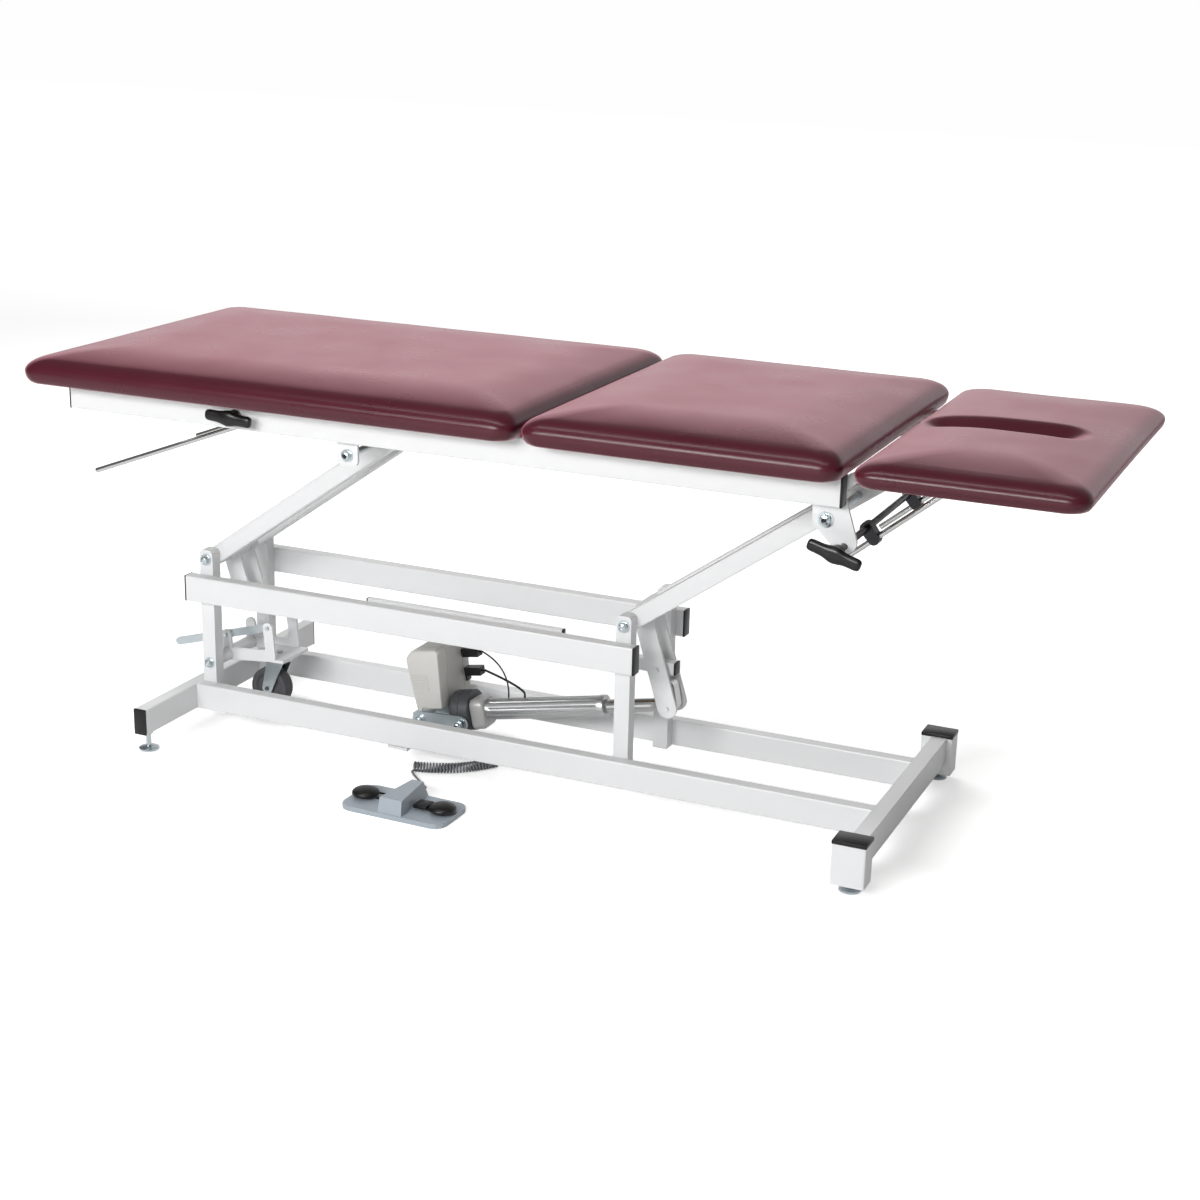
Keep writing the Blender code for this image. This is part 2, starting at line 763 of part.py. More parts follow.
def tie_tube():
    left, right = crank_point(POST_X[0], TIE_share), crank_point(POST_X[1], TIE_share)
    u = (-TIE_HALF, TIE_HALF)
    v = (right[1] - TIE_HALF, right[1] + TIE_HALF)
    inner_u = (u[0] + TIE_WALL, u[1] - TIE_WALL)
    inner_v = (v[0] + TIE_WALL, v[1] - TIE_WALL)
    loops = [rounded_box(u, v, RAIL_CORNER, 2), plain_box(inner_u, inner_v)]
    mesh = slab(loops, "YZ", left[0] - TIE_TAIL, right[0] + TIE_TAIL)
    item = piece("tie_tube", mesh, white_paint, (right[0], ZERO, right[1]))
    weld(item, across(left, PIN_RADIUS, -PIN_HALF, PIN_HALF, SMALL_STEPS))
    weld(item, across(right, PIN_RADIUS, -PIN_HALF, PIN_HALF, SMALL_STEPS))


def arms():
    for side, x in zip(("left", "right"), POST_X):
        for word, sign in SIDES:
            arm(side + "_arm_" + word, x, sign)


# %% Actuator
def drive_point(reach, rise=ZERO):
    pin = crank_point(POST_X[1], ONE)
    step = reach - DRIVE_REACH
    x = pin[0] + step * math.cos(DRIVE_ANGLE) - rise * math.sin(DRIVE_ANGLE)
    z = pin[1] + step * math.sin(DRIVE_ANGLE) + rise * math.cos(DRIVE_ANGLE)
    return (x, z)


def drive_place():
    start = drive_point(ZERO)
    return Matrix.Translation((start[0], ZERO, start[1])) @ Matrix.Rotation(-DRIVE_ANGLE, 4, "Y")


def drive_bar(start, stop, radius, steps=ROUND_STEPS):
    a, b = drive_point(start), drive_point(stop)
    return bar((a[0], ZERO, a[1]), (b[0], ZERO, b[1]), radius, None, steps)


def actuator_motor():
    item = piece("actuator_motor", drive_bar(*GEAR, GEAR_RADIUS), grey_plastic)
    y = (-SLEEVE_WIDE, SLEEVE_WIDE)
    v = (-SLEEVE_HALF - SLEEVE_DROP, SLEEVE_HALF - SLEEVE_DROP)
    sleeve = slab([rounded_box(y, v, SLEEVE_CORNER)], "YZ", *SLEEVE, drive_place())
    weld(item, sleeve)
    neck_end = drive_point(GEAR[0] + LINK_LUG_RADIUS)
    neck = hull([(LINK_PIVOT, LINK_LUG_RADIUS), (neck_end, LINK_LUG_RADIUS)])
    weld(item, slab([neck], "XZ", -LINK_LUG_HALF, LINK_LUG_HALF))
    reach = (-LINK_LUG_HALF - OVERRUN, LINK_LUG_HALF + OVERRUN)
    cut(item, across(LINK_PIVOT, LINK_PIN_RADIUS + GAP, *reach, SMALL_STEPS))
    cut(item, drive_bar(DRIVE_TUBE[0] - RAIL_WALL, DRIVE_TUBE[1], DRIVE_TUBE_RADIUS + GAP))


def actuator_tube():
    start, stop = DRIVE_TUBE
    item = piece("actuator_tube", drive_bar(start - RAIL_WALL + GAP, stop, DRIVE_TUBE_RADIUS), aluminium)
    weld(item, drive_bar(stop - COLLAR_LENGTH, stop + WELD, COLLAR_RADIUS))
    cut(item, drive_bar(start + OVERRUN, stop + OVERRUN, DRIVE_BORE_RADIUS))
    slots = []
    for k in range(DRIVE_FLUTES):
        turn = FULL_TURN * k / DRIVE_FLUTES
        y = DRIVE_TUBE_RADIUS * math.cos(turn)
        a = drive_point(start + OVERRUN + OVERRUN, DRIVE_TUBE_RADIUS * math.sin(turn))
        b = drive_point(stop - COLLAR_LENGTH - OVERRUN, DRIVE_TUBE_RADIUS * math.sin(turn))
        low, high = (a[0], y, a[1]), (b[0], y, b[1])
        slots.append(bar(low, high, DRIVE_FLUTE_RADIUS, None, FLUTE_STEPS))
    cut(item, merged(*slots))


def actuator_rod():
    pin = drive_point(DRIVE_REACH)
    top = drive_point(DRIVE_REACH, SLOT_RISE)
    start = DRIVE_REACH - LUG_RADIUS * HALF_share
    mesh = drive_bar(DRIVE_TUBE[1] - ROD_INSIDE, start, ROD_RADIUS)
    item = piece("actuator_rod", mesh, chrome, (pin[0], ZERO, pin[1]))
    weld(item, slab([hull([(pin, LUG_RADIUS), (top, LUG_RADIUS)])], "XZ", -LUG_HALF, LUG_HALF))
    slot = hull([(pin, SLOT_RADIUS), (top, SLOT_RADIUS)])
    cut(item, slab([slot], "XZ", -LUG_HALF - OVERRUN, LUG_HALF + OVERRUN))


def actuator_mount():
    outline = plain_box(CROSS_PLATE_X, (-RAIL_Y - RAIL_WIDE / TWO, RAIL_Y + RAIL_WIDE / TWO))
    piece("actuator_cross_plate", slab([outline], "XY", *CROSS_PLATE_Z), white_paint)
    half = LINK_Y[0] + WELD
    block = slab([plain_box(BRACKET_BLOCK_X, BRACKET_BLOCK_Z)], "XZ", -half, half)
    item = piece("actuator_bracket", block, zinc)
    for word, sign in SIDES:
        outline = hull([(LINK_ANCHOR, LINK_RADIUS), (LINK_PIVOT, LINK_RADIUS)])
        weld(item, slab([outline], "XZ", *band(LINK_Y, sign)))
    reach = (-LINK_Y[1] - OVERRUN, LINK_Y[1] + OVERRUN)
    weld(item, across(LINK_PIVOT, LINK_PIN_RADIUS, *reach, SMALL_STEPS))


# %% Control box
def box_place():
    turn = Matrix.Rotation(-BOX_TILT, 4, "Y")
    return Matrix.Translation((BOX_CENTRE[0], ZERO, BOX_CENTRE[1])) @ turn


def control_box():
    half = BOX_TALL / TWO
    outline = [(BOX_TOP_HALF, half - BOX_BEVEL), (BOX_TOP_HALF - BOX_BEVEL, half),
               (-BOX_TOP_HALF + BOX_TOP_CUT, half), (-BOX_TOP_HALF, half - BOX_TOP_CUT),
               (-BOX_BOTTOM_HALF, -half), (BOX_BOTTOM_HALF, -half)]
    item = piece("control_box", slab([outline], "XZ", *BOX_Y, box_place()), grey_plastic)
    low, high = (*BOX_GLAND, box_gland_z()), (*BOX_GLAND, BOX_CENTRE[1])
    weld(item, bar(low, high, GLAND_RADIUS, None, SMALL_STEPS))
    bracket_top = LINK_ANCHOR[1] + LINK_RADIUS
    for word, sign in SIDES:
        outline = plain_box(BOX_FOOT_X, band(BOX_FOOT_Y, sign))
        weld(item, slab([outline], "XY", bracket_top + GAP, BOX_CENTRE[1]))


def box_gland_z():
    return BOX_CENTRE[1] - BOX_TALL / TWO - BOX_GLAND_DROP


def box_bar():
    item = piece("control_box_bar", slab([plain_box(BAR_Y, BAR_Z)], "YZ", *BAR_X), white_paint)
    weld(item, slab([plain_box(BAR_POST_X, BAR_Y)], "XY", BAR_POST_FOOT, BAR_Z[0] + WELD))


# %% Top frame
def upper_pivot(x):
    place = arm_place(x) @ Vector((ARM_LENGTH, ZERO, ZERO))
    return (place.x, place.z)


def top_rails():
    left, right = upper_pivot(POST_X[0]), upper_pivot(POST_X[1])
    for word, sign in SIDES:
        item = rail("top_rail_" + word, TOP_RAIL_X, sign * TOP_RAIL_Y, TOP_RAIL_Z)
        y = band(TOP_PLATE_Y, sign)
        reach = (y[0] - OVERRUN, y[1] + OVERRUN)
        circles = [(right, PLATE_BOLT), (GUSSET_BOSS, GUSSET_BOSS_RADIUS)]
        circles += [(point, GUSSET_TOP_RADIUS) for point in GUSSET_TOP]
        weld(item, slab([hull(circles)], "XZ", *y))
        ear = hull([(HEAD_HINGE, HEAD_HINGE_RADIUS), (HINGE_EAR, GUSSET_TOP_RADIUS)])
        weld(item, slab([ear], "XZ", *y))
        u = (left[0] - BRACKET_HALF, left[0] + BRACKET_HALF)
        v = (left[1] - BRACKET_DROP, left[1] + BRACKET_RISE)
        weld(item, slab([rounded_box(u, v, POST_EAR_RADIUS, 2)], "XZ", *y))
        for centre in (left, right):
            cut(item, across(centre, SHAFT_RADIUS + GAP, *reach))
        cut(item, across(HEAD_SHAFT, CLAMP_SHAFT_RADIUS + GAP, *reach))
        cut(item, across(HEAD_HINGE, HINGE_PIN_RADIUS + GAP, *reach, SMALL_STEPS))
        through = band((TOP_RAIL_Y - RAIL_WIDE, TOP_RAIL_Y + RAIL_WIDE), sign)
        cut(item, across(LONG_SHAFT, CLAMP_SHAFT_RADIUS + GAP, *through))


def top_cross_tubes():
    half = CROSS_TUBE_SIZE / TWO
    for word, x in zip(("left", "right"), CROSS_TUBE_X):
        u, v = (x - half, x + half), (CROSS_TUBE_Z - half, CROSS_TUBE_Z + half)
        inner_u = (u[0] + RAIL_WALL, u[1] - RAIL_WALL)
        inner_v = (v[0] + RAIL_WALL, v[1] - RAIL_WALL)
        loops = [rounded_box(u, v, RAIL_CORNER, 2), plain_box(inner_u, inner_v)]
        reach = TOP_RAIL_Y - RAIL_WIDE / TWO - GAP
        piece("top_cross_tube_" + word, slab(loops, "XZ", -reach, reach), white_paint)


def top_shafts():
    for word, x in zip(("left", "right"), POST_X):
        centre = upper_pivot(x)
        mesh = across(centre, SHAFT_RADIUS, -UPPER_SHAFT_HALF, UPPER_SHAFT_HALF)
        piece("upper_" + word + "_shaft", mesh, zinc, (centre[0], ZERO, centre[1]), True)
    mesh = across(HEAD_HINGE, HINGE_PIN_RADIUS, -HINGE_PIN_HALF, HINGE_PIN_HALF, SMALL_STEPS)
    piece("head_hinge_pin", mesh, zinc, (HEAD_HINGE[0], ZERO, HEAD_HINGE[1]), True)


# %% Padded sections
def pad_ring(x, inset, z):
    u = (x[0] + inset, x[1] - inset)
    v = (-PAD_HALF + inset, PAD_HALF - inset)
    return [(a, b, z) for a, b in rounded_box(u, v, PAD_CORNER, PAD_CORNER_STEPS)]


def pad_mesh(x, tall):
    nose = tall * NOSE_share
    rings = []
    for k in range(TUCK_RINGS + 1):
        turn = QUARTER_TURN * (k / TUCK_RINGS - 1)
        rings.append((TUCK_WIDE * (1 - math.cos(turn)), nose * (1 + math.sin(turn))))
    for k in range(1, SLOPE_RINGS + 1):
        turn = QUARTER_TURN * k / SLOPE_RINGS
        rise = (tall - CROWN_EXTRA - nose) * math.sin(turn)
        rings.append((SLOPE_WIDE * (1 - math.cos(turn)), nose + rise))
    for k in range(1, CROWN_RINGS + 1):
        share = k / (CROWN_RINGS + 1)
        rings.append((SLOPE_WIDE * (1 + share), tall - CROWN_EXTRA * (1 - share) ** 2))
    mesh = bmesh.new()
    loops = []
    for inset, rise in rings:
        loops.append([mesh.verts.new(p) for p in pad_ring(x, inset, PAD_BOTTOM + rise)])
    for low, high in zip(loops, loops[1:]):
        for k in range(len(low)):
            after = (k + 1) % len(low)
            mesh.faces.new((low[k], low[after], high[after], high[k]))
    mesh.faces.new(loops[0][::-1])
    mesh.faces.new(loops[-1])
    return tidy(mesh)


def board_outline(x, margin=ZERO):
    inset = BOARD_INSET - margin
    return rounded_box((x[0] + inset, x[1] - inset), (-PAD_HALF + inset, PAD_HALF - inset), BOARD_CORNER)


def pad(name, x, tall, origin):
    item = piece(name, pad_mesh(x, tall), vinyl, origin, True)
    top = PAD_BOTTOM + BOARD_THICK + GAP
    cut(item, slab([board_outline(x, GAP)], "XY", PAD_BOTTOM - OVERRUN, top))
    return item


def board(name, x, origin):
    mesh = slab([board_outline(x)], "XY", PAD_BOTTOM, PAD_BOTTOM + BOARD_THICK)
    return piece(name, mesh, plywood, origin)


def long_tab(direction, y):
    x, z = LONG_HINGE
    foot_x = x + direction * LONG_TAB_REACH
    low = LONG_TAB_FOOT + LONG_TAB_HALF
    upright = hull([((x, z), LONG_TAB_HALF), ((x, low), LONG_TAB_HALF)], SMALL_STEPS)
    leg = plain_box(sorted((x, foot_x)), (LONG_TAB_FOOT, PAD_BOTTOM - GAP))
    seat_x = x + direction * LONG_SEAT_REACH
    seat = plain_box(sorted((seat_x, foot_x - direction * WELD)), (LONG_TAB_FOOT + WELD, PAD_BOTTOM + WELD))
    near, far = y - LONG_TAB_THICK / TWO, y + LONG_TAB_THICK / TWO
    plates = [slab([outline], "XZ", near, far) for outline in (upright, leg)]
    return plates + [slab([seat], "XZ", near + WELD, far - WELD)]


def section_pads():
    pin = (LONG_HINGE[0], ZERO, LONG_HINGE[1])
    pad("long_cushion", LONG_PAD_X, PAD_TALL, pin)
    pad("mid_cushion", MID_PAD_X, PAD_TALL, (MID_PAD_X[0], ZERO, PAD_BOTTOM))
    long_board = board("long_board", LONG_PAD_X, pin)
    mid_board = board("mid_board", MID_PAD_X, (MID_PAD_X[0], ZERO, PAD_BOTTOM))
    for word, sign in SIDES:
        y = sign * LONG_TAB_Y
        outer = y + sign * (LONG_TAB_THICK + GAP)
        weld(long_board, *long_tab(-1, y))
        cut(long_board, across(LONG_HINGE, LONG_PIN_RADIUS + GAP, y - OVERRUN, y + OVERRUN, SMALL_STEPS))
        weld(mid_board, *long_tab(1, outer))
        stub = sorted((outer, outer - sign * LONG_PIN_LENGTH))
        weld(mid_board, across(LONG_HINGE, LONG_PIN_RADIUS, *stub, SMALL_STEPS))
    add_long_lugs(long_board)


def lug_outline(pivot, foot_x):
    feet_of_lug = [((foot_x + s * LUG_BOARD_HALF, PAD_BOTTOM), WELD) for s in (-1, 1)]
    return hull([(pivot, LUG_EYE_RADIUS)] + feet_of_lug)


def add_long_lugs(item):
    for word, sign in SIDES:
        y = sorted((sign * LONG_LUG_Y, sign * (LONG_LUG_Y + LUG_THICK)))
        weld(item, slab([lug_outline(LONG_PIVOT, LONG_LUG_X)], "XZ", *y))
        hole = across(LONG_PIVOT, LONG_ROD_RADIUS + GAP, y[0] - OVERRUN, y[1] + OVERRUN, SMALL_STEPS)
        cut(item, hole)


def head_pad():
    hinge = (HEAD_HINGE[0], ZERO, HEAD_HINGE[1])
    item = pad("head_cushion", HEAD_PAD_X, HEAD_PAD_TALL, hinge)
    half = HEAD_SLOT_WIDE / TWO
    ends = [(HEAD_SLOT_X[0] + half, ZERO), (HEAD_SLOT_X[1] - half, ZERO)]
    outline = hull([(end, half) for end in ends], ROUND_STEPS)
    top = PAD_BOTTOM + HEAD_PAD_TALL
    cut(item, slab([outline], "XY", top - HEAD_SLOT_DEEP, top + OVERRUN))
    plank = board("head_board", HEAD_PAD_X, hinge)
    middle = PAD_BOTTOM + BOARD_THICK / TWO
    far = HEAD_PAD_X[0] + BOARD_INSET + OVERRUN
    for word, sign in SIDES:
        y = sorted((sign * KNUCKLE_Y, sign * (KNUCKLE_Y + KNUCKLE_THICK)))
        knuckle = hull([(HEAD_HINGE, HEAD_HINGE_RADIUS), ((far, middle), BOARD_THICK / TWO - GAP)])
        weld(plank, slab([knuckle], "XZ", *y))
        reach = (y[0] - OVERRUN, y[1] + OVERRUN)
        cut(plank, across(HEAD_HINGE, HINGE_PIN_RADIUS + GAP, *reach, SMALL_STEPS))
        y = sorted((sign * HEAD_LUG_Y, sign * (HEAD_LUG_Y + LUG_THICK)))
        weld(plank, slab([lug_outline(head_pivot(), head_pivot()[0])], "XZ", *y))
        reach = (y[0] - OVERRUN, y[1] + OVERRUN)
        cut(plank, across(head_pivot(), HEAD_ROD_RADIUS + GAP, *reach, SMALL_STEPS))
    for word, sign in SIDES:
        y = sorted((sign * (KNUCKLE_Y - GAP), sign * (KNUCKLE_Y + KNUCKLE_THICK + GAP)))
        relief = hull([(HEAD_HINGE, HEAD_HINGE_RADIUS + GAP), ((far, middle), BOARD_THICK / TWO)])
        cut(item, slab([relief], "XZ", *y))


def head_pivot():
    return (HEAD_TAIL[0] + HEAD_PIVOT_REACH * math.cos(HEAD_ROD_ANGLE),
            HEAD_TAIL[1] + HEAD_PIVOT_REACH * math.sin(HEAD_ROD_ANGLE))


# %% Support rods and their clamps
def bend(start, corner, stop, steps):
    arc = []
    for k in range(steps + 1):
        t = k / steps
        arc.append(start * (1 - t) ** 2 + corner * (2 * t * (1 - t)) + stop * t ** 2)
    return arc


def bent_path(points, share, steps):
    path = [points[0]]
    for before, corner, after in zip(points, points[1:], points[2:]):
        start = corner + (before - corner) * share
        stop = corner + (after - corner) * share
        path += bend(start, corner, stop, steps)
    path.append(points[-1])
    return path


def without_repeats(path):
    kept = [path[0]]
    for point in path[1:]:
        if (point - kept[-1]).length > MERGE:
            kept.append(point)
    return kept


def support(name, corners, y, radius, pivot, share):
    front = [Vector((a, -y, b)) for a, b in corners]
    rear = [Vector((a, y, b)) for a, b in reversed(corners)]
    points = bent_path(front, share, LONG_ELBOW_STEPS) if len(front) > 2 else front
    back = bent_path(rear, share, LONG_ELBOW_STEPS) if len(rear) > 2 else rear
    turn_in = LUG_EYE_RADIUS
    near = [Vector((pivot[0], -y + turn_in, pivot[1])), Vector((pivot[0], y - turn_in, pivot[1]))]
    path = points[:-1] + corner_arc(points[-2], points[-1], near[0])
    path += corner_arc(near[1], back[0], back[1]) + back[1:]
    piece(name, wire(path, radius, 2), chrome, (pivot[0], ZERO, pivot[1]), True)


def corner_arc(before, corner, after):
    start = corner + (before - corner).normalized() * LUG_EYE_RADIUS
    stop = corner + (after - corner).normalized() * LUG_EYE_RADIUS
    return bend(start, corner, stop, CORNER_STEPS)


def long_support():
    elbow = (LONG_TAIL[0] + LONG_ELBOW_REACH * math.cos(LONG_ROD_ANGLE),
             LONG_TAIL[1] + LONG_ELBOW_REACH * math.sin(LONG_ROD_ANGLE))
    corners = [LONG_TAIL, elbow, LONG_PIVOT]
    support("long_support", corners, LONG_ROD_Y, LONG_ROD_RADIUS, LONG_PIVOT, LONG_ELBOW_share)


def head_support():
    corners = [HEAD_TAIL, head_pivot()]
    support("head_support", corners, HEAD_ROD_Y, HEAD_ROD_RADIUS, head_pivot(), ONE)


def clamp(name, shaft, tail, angle, rod_y, rod_radius, clear, front, rear):
    mesh = across(shaft, CLAMP_SHAFT_RADIUS, -front, rear, SMALL_STEPS)
    item = piece(name, mesh, zinc, (shaft[0], ZERO, shaft[1]))
    along = Vector((math.cos(angle), ZERO, math.sin(angle)))
    base = Vector((tail[0], ZERO, tail[1]))
    reach = (Vector((shaft[0], ZERO, shaft[1])) - base).dot(along)
    near = base + along * reach
    for word, sign in SIDES:
        middle = sign * rod_y
        radius = rod_radius + clear + OVERRUN
        outline = hull([(shaft, EYE_RADIUS), ((near.x, near.z), radius)])
        half = max(EYE_HALF, radius)
        weld(item, slab([outline], "XZ", middle - half, middle + half))
        offset = Vector((ZERO, middle, ZERO))
        bore = rod_radius + clear
        reach = along * EYE_CUT_HALF
        cut(item, bar(near + offset - reach, near + offset + reach, bore, None, SMALL_STEPS))


def clamps():
    clamp("long_clamp", LONG_SHAFT, LONG_TAIL, LONG_ROD_ANGLE, LONG_ROD_Y, LONG_ROD_RADIUS,
          LONG_EYE_CLEAR, LONG_HANDLE_Y, CLAMP_REAR)
    clamp("head_clamp", HEAD_SHAFT, HEAD_TAIL, HEAD_ROD_ANGLE, HEAD_ROD_Y, HEAD_ROD_RADIUS,
          HEAD_EYE_CLEAR, HEAD_HANDLE_Y, HEAD_CLAMP_REAR)


def handle(name, shaft, y, angle):
    along = (math.cos(angle) * HANDLE_HALF, math.sin(angle) * HANDLE_HALF)
    tips = [(shaft[0] + s * along[0], shaft[1] + s * along[1]) for s in (-1, 1)]
    wings = []
    for tip in tips:
        wings.append(hull([(shaft, HANDLE_HUB_RADIUS), (tip, HANDLE_TIP_RADIUS)]))
    front = -y - HANDLE_THICK
    back = -y + HANDLE_LIP
    item = piece(name, slab([wings[0]], "XZ", front, back), black_plastic, (shaft[0], -y, shaft[1]))
    weld(item, slab([wings[1]], "XZ", front, back))
    weld(item, across(shaft, HANDLE_HUB_RADIUS, front + WELD, -y + HANDLE_HUB_LENGTH))
    socket = (-y - GAP, -y + HANDLE_HUB_LENGTH + OVERRUN)
    cut(item, across(shaft, CLAMP_SHAFT_RADIUS + GAP, *socket, SMALL_STEPS))


def handles():
    handle("long_clamp_handle", LONG_SHAFT, LONG_HANDLE_Y, LONG_HANDLE_ANGLE)
    handle("head_clamp_handle", HEAD_SHAFT, HEAD_HANDLE_Y, HEAD_HANDLE_ANGLE)


# %% Caster and its lever
def caster_lever():
    origin = (CASTER_SHAFT[0], ZERO, CASTER_SHAFT[1])
    hub = across(CASTER_SHAFT, HUB_RADIUS, -HUB_HALF, HUB_HALF)
    item = piece("caster_lever", hub, white_paint, origin)
    links = [[(CASTER_SHAFT, HUB_RADIUS - WELD), (SIDE_ARM_END, SIDE_ARM_RADIUS)],
             [(SIDE_ARM_END, SIDE_ARM_RADIUS - WELD), (STRUT_TOP, STRUT_RADIUS)],
             [(CASTER_SHAFT, HUB_RADIUS - WELD - WELD), (UPRIGHT_TOP, STRUT_RADIUS)]]
    for word, sign in SIDES:
        for link in links:
            weld(item, slab([hull(link)], "XZ", *band(SIDE_ARM_Y, sign)))
    plate = slab([plain_box(MOUNT_X, (-MOUNT_HALF + WELD, MOUNT_HALF - WELD))], "XY", *MOUNT_Z)
    weld(item, plate)
    cut(item, across(CASTER_SHAFT, SHAFT_RADIUS + GAP, -HUB_HALF - OVERRUN, HUB_HALF + OVERRUN))
    low, high = (SWIVEL_X, ZERO, MOUNT_Z[0] - OVERRUN), (SWIVEL_X, ZERO, MOUNT_Z[1] + OVERRUN)
    cut(item, bar(low, high, SWIVEL_RADIUS + GAP))
    reach = (BAR_PIN_END - OVERRUN, BAR_SIDE_Y[0] + OVERRUN)
    for point in (STRUT_TOP, UPRIGHT_TOP):
        cut(item, across(point, BAR_PIN_RADIUS + GAP, *reach, SMALL_STEPS))


def caster_pedal():
    origin = (CASTER_SHAFT[0], ZERO, CASTER_SHAFT[1])
    outline = hull([(BAR_LEFT, BAR_END_RADIUS), (STRUT_TOP, BAR_END_RADIUS)])
    item = piece("caster_pedal", slab([outline], "XZ", *BAR_SIDE_Y), zinc, origin)
    for point in (STRUT_TOP, UPRIGHT_TOP):
        weld(item, across(point, BAR_PIN_RADIUS, BAR_PIN_END, BAR_SIDE_Y[1] - WELD, SMALL_STEPS))


def caster_fork():
    disc = bar((SWIVEL_X, ZERO, FORK_DISC_Z[0]), (SWIVEL_X, ZERO, FORK_DISC_Z[1]), FORK_DISC_RADIUS)
    item = piece("caster_fork", disc, zinc, (SWIVEL_X, ZERO, FORK_DISC_Z[1]))
    low, high = (SWIVEL_X, ZERO, FORK_DISC_Z[0] + WELD), (SWIVEL_X, ZERO, SWIVEL_TOP)
    weld(item, bar(low, high, SWIVEL_RADIUS))
    for word, sign in SIDES:
        ends = [((SWIVEL_X + s * FORK_TOP_HALF, FORK_DISC_Z[0] + WELD), WELD) for s in (-1, 1)]
        outline = hull([(WHEEL_CENTRE, FORK_END_RADIUS)] + ends)
        weld(item, slab([outline], "XZ", *band(FORK_Y, sign)))
    cut(item, across(WHEEL_CENTRE, AXLE_RADIUS + GAP, -AXLE_HALF, AXLE_HALF, SMALL_STEPS))


def caster_wheel():
    profile = [(ZERO, -AXLE_HALF), (AXLE_RADIUS, -AXLE_HALF), (AXLE_RADIUS, -WHEEL_HUB_HALF),
               (WHEEL_HUB_RADIUS, -WHEEL_HUB_HALF), (WHEEL_HUB_RADIUS, -WHEEL_HALF + WHEEL_DISH),
               (WHEEL_RIM_RADIUS, -WHEEL_HALF + WHEEL_DISH), (WHEEL_RIM_RADIUS, -WHEEL_HALF),
               (WHEEL_RADIUS - WHEEL_EDGE, -WHEEL_HALF), (WHEEL_RADIUS, -WHEEL_HALF + WHEEL_EDGE)]
    profile += [(r, -z) for r, z in reversed(profile)]
    mesh = turned(profile, WHEEL_STEPS)
    turn = Matrix.Rotation(QUARTER_TURN, 4, "X")
    mesh.transform(Matrix.Translation((WHEEL_CENTRE[0], ZERO, WHEEL_CENTRE[1])) @ turn)
    piece("caster_wheel", mesh, tyre_rubber, (WHEEL_CENTRE[0], ZERO, WHEEL_CENTRE[1]), True)


# %% Foot control
def pedal_place():
    turn = Matrix.Rotation(PEDAL_TURN, 4, "Z")
    return Matrix.Translation((*PEDAL_CENTRE, ZERO)) @ turn


def pedal_base():
    place = pedal_place()
    half_u, half_v = PEDAL_LONG / TWO, PEDAL_DEEP / TWO
    outline = rounded_box((-half_u, half_u), (-half_v, half_v), PEDAL_CORNER)
    origin = place @ Vector((ZERO, ZERO, ZERO))
    item = piece("pedal_base", slab([outline], "XY", ZERO, PEDAL_BASE_TALL, place), pedal_plastic, origin)
    weld(item, pedal_block(place))
    top = PEDAL_BASE_TALL
    for side in (-1, 1):
        a = place @ Vector((side * BUTTON_OUT, ZERO, BUTTON_WELL))
        b = place @ Vector((side * BUTTON_OUT, ZERO, top + OVERRUN))
        cut(item, bar(a, b, BUTTON_STEM_RADIUS + GAP))
    a = place @ Vector((ZERO, half_v - GLAND_OUT, GLAND_Z))
    b = place @ Vector((ZERO, half_v + GLAND_OUT, GLAND_Z))
    weld(item, bar(a, b, GLAND_RADIUS, None, SMALL_STEPS))


def pedal_block(place):
    mesh = bmesh.new()
    for ring, z in ((PEDAL_BLOCK_FOOT, ZERO), (PEDAL_BLOCK_HEAD, PEDAL_BLOCK_TALL)):
        for u, v in ring:
            for side in (-1, 1):
                mesh.verts.new((side * u, v, z))
    bmesh.ops.convex_hull(mesh, input=mesh.verts)
    mesh.transform(place)
    return tidy(mesh)


def pedal_buttons():
    place = pedal_place()
    rise = BUTTON_Z[1] - BUTTON_Z[0]
    for word, side in (("left", -1), ("right", 1)):
        profile = [(ZERO, BUTTON_STEM_FOOT), (BUTTON_STEM_RADIUS, BUTTON_STEM_FOOT),
                   (BUTTON_STEM_RADIUS, BUTTON_Z[0]), (BUTTON_RADIUS, BUTTON_Z[0])]
        for k in range(CORNER_STEPS + 1):
            turn = QUARTER_TURN * k / CORNER_STEPS
            fall = rise * (1 - math.sin(turn)) * BUTTON_CROWN_share
            profile.append((BUTTON_RADIUS * math.cos(turn), BUTTON_Z[1] - fall))
        mesh = turned(profile, HULL_STEPS)
        centre = place @ Vector((side * BUTTON_OUT, ZERO, ZERO))
        mesh.transform(Matrix.Translation(centre))
        piece("pedal_button_" + word, mesh, black_plastic, (centre.x, centre.y, BUTTON_Z[0]), True)


# %% Cords
def arc_centre(a, b, c):
    d = ((a[0] - c[0]) * (b[1] - c[1]) - (b[0] - c[0]) * (a[1] - c[1])) * 2
    p = (a[0] - c[0]) * (a[0] + c[0]) + (a[1] - c[1]) * (a[1] + c[1])
    q = (b[0] - c[0]) * (b[0] + c[0]) + (b[1] - c[1]) * (b[1] + c[1])
    return ((p * (b[1] - c[1]) - q * (a[1] - c[1])) / d, (q * (a[0] - c[0]) - p * (b[0] - c[0])) / d)


def coil_arc():
    centre = arc_centre(COIL_START, COIL_MIDDLE, COIL_STOP)
    turns = [math.atan2(p[1] - centre[1], p[0] - centre[0]) for p in (COIL_START, COIL_STOP)]
    return centre, math.dist(centre, COIL_START), turns[0], turns[1]


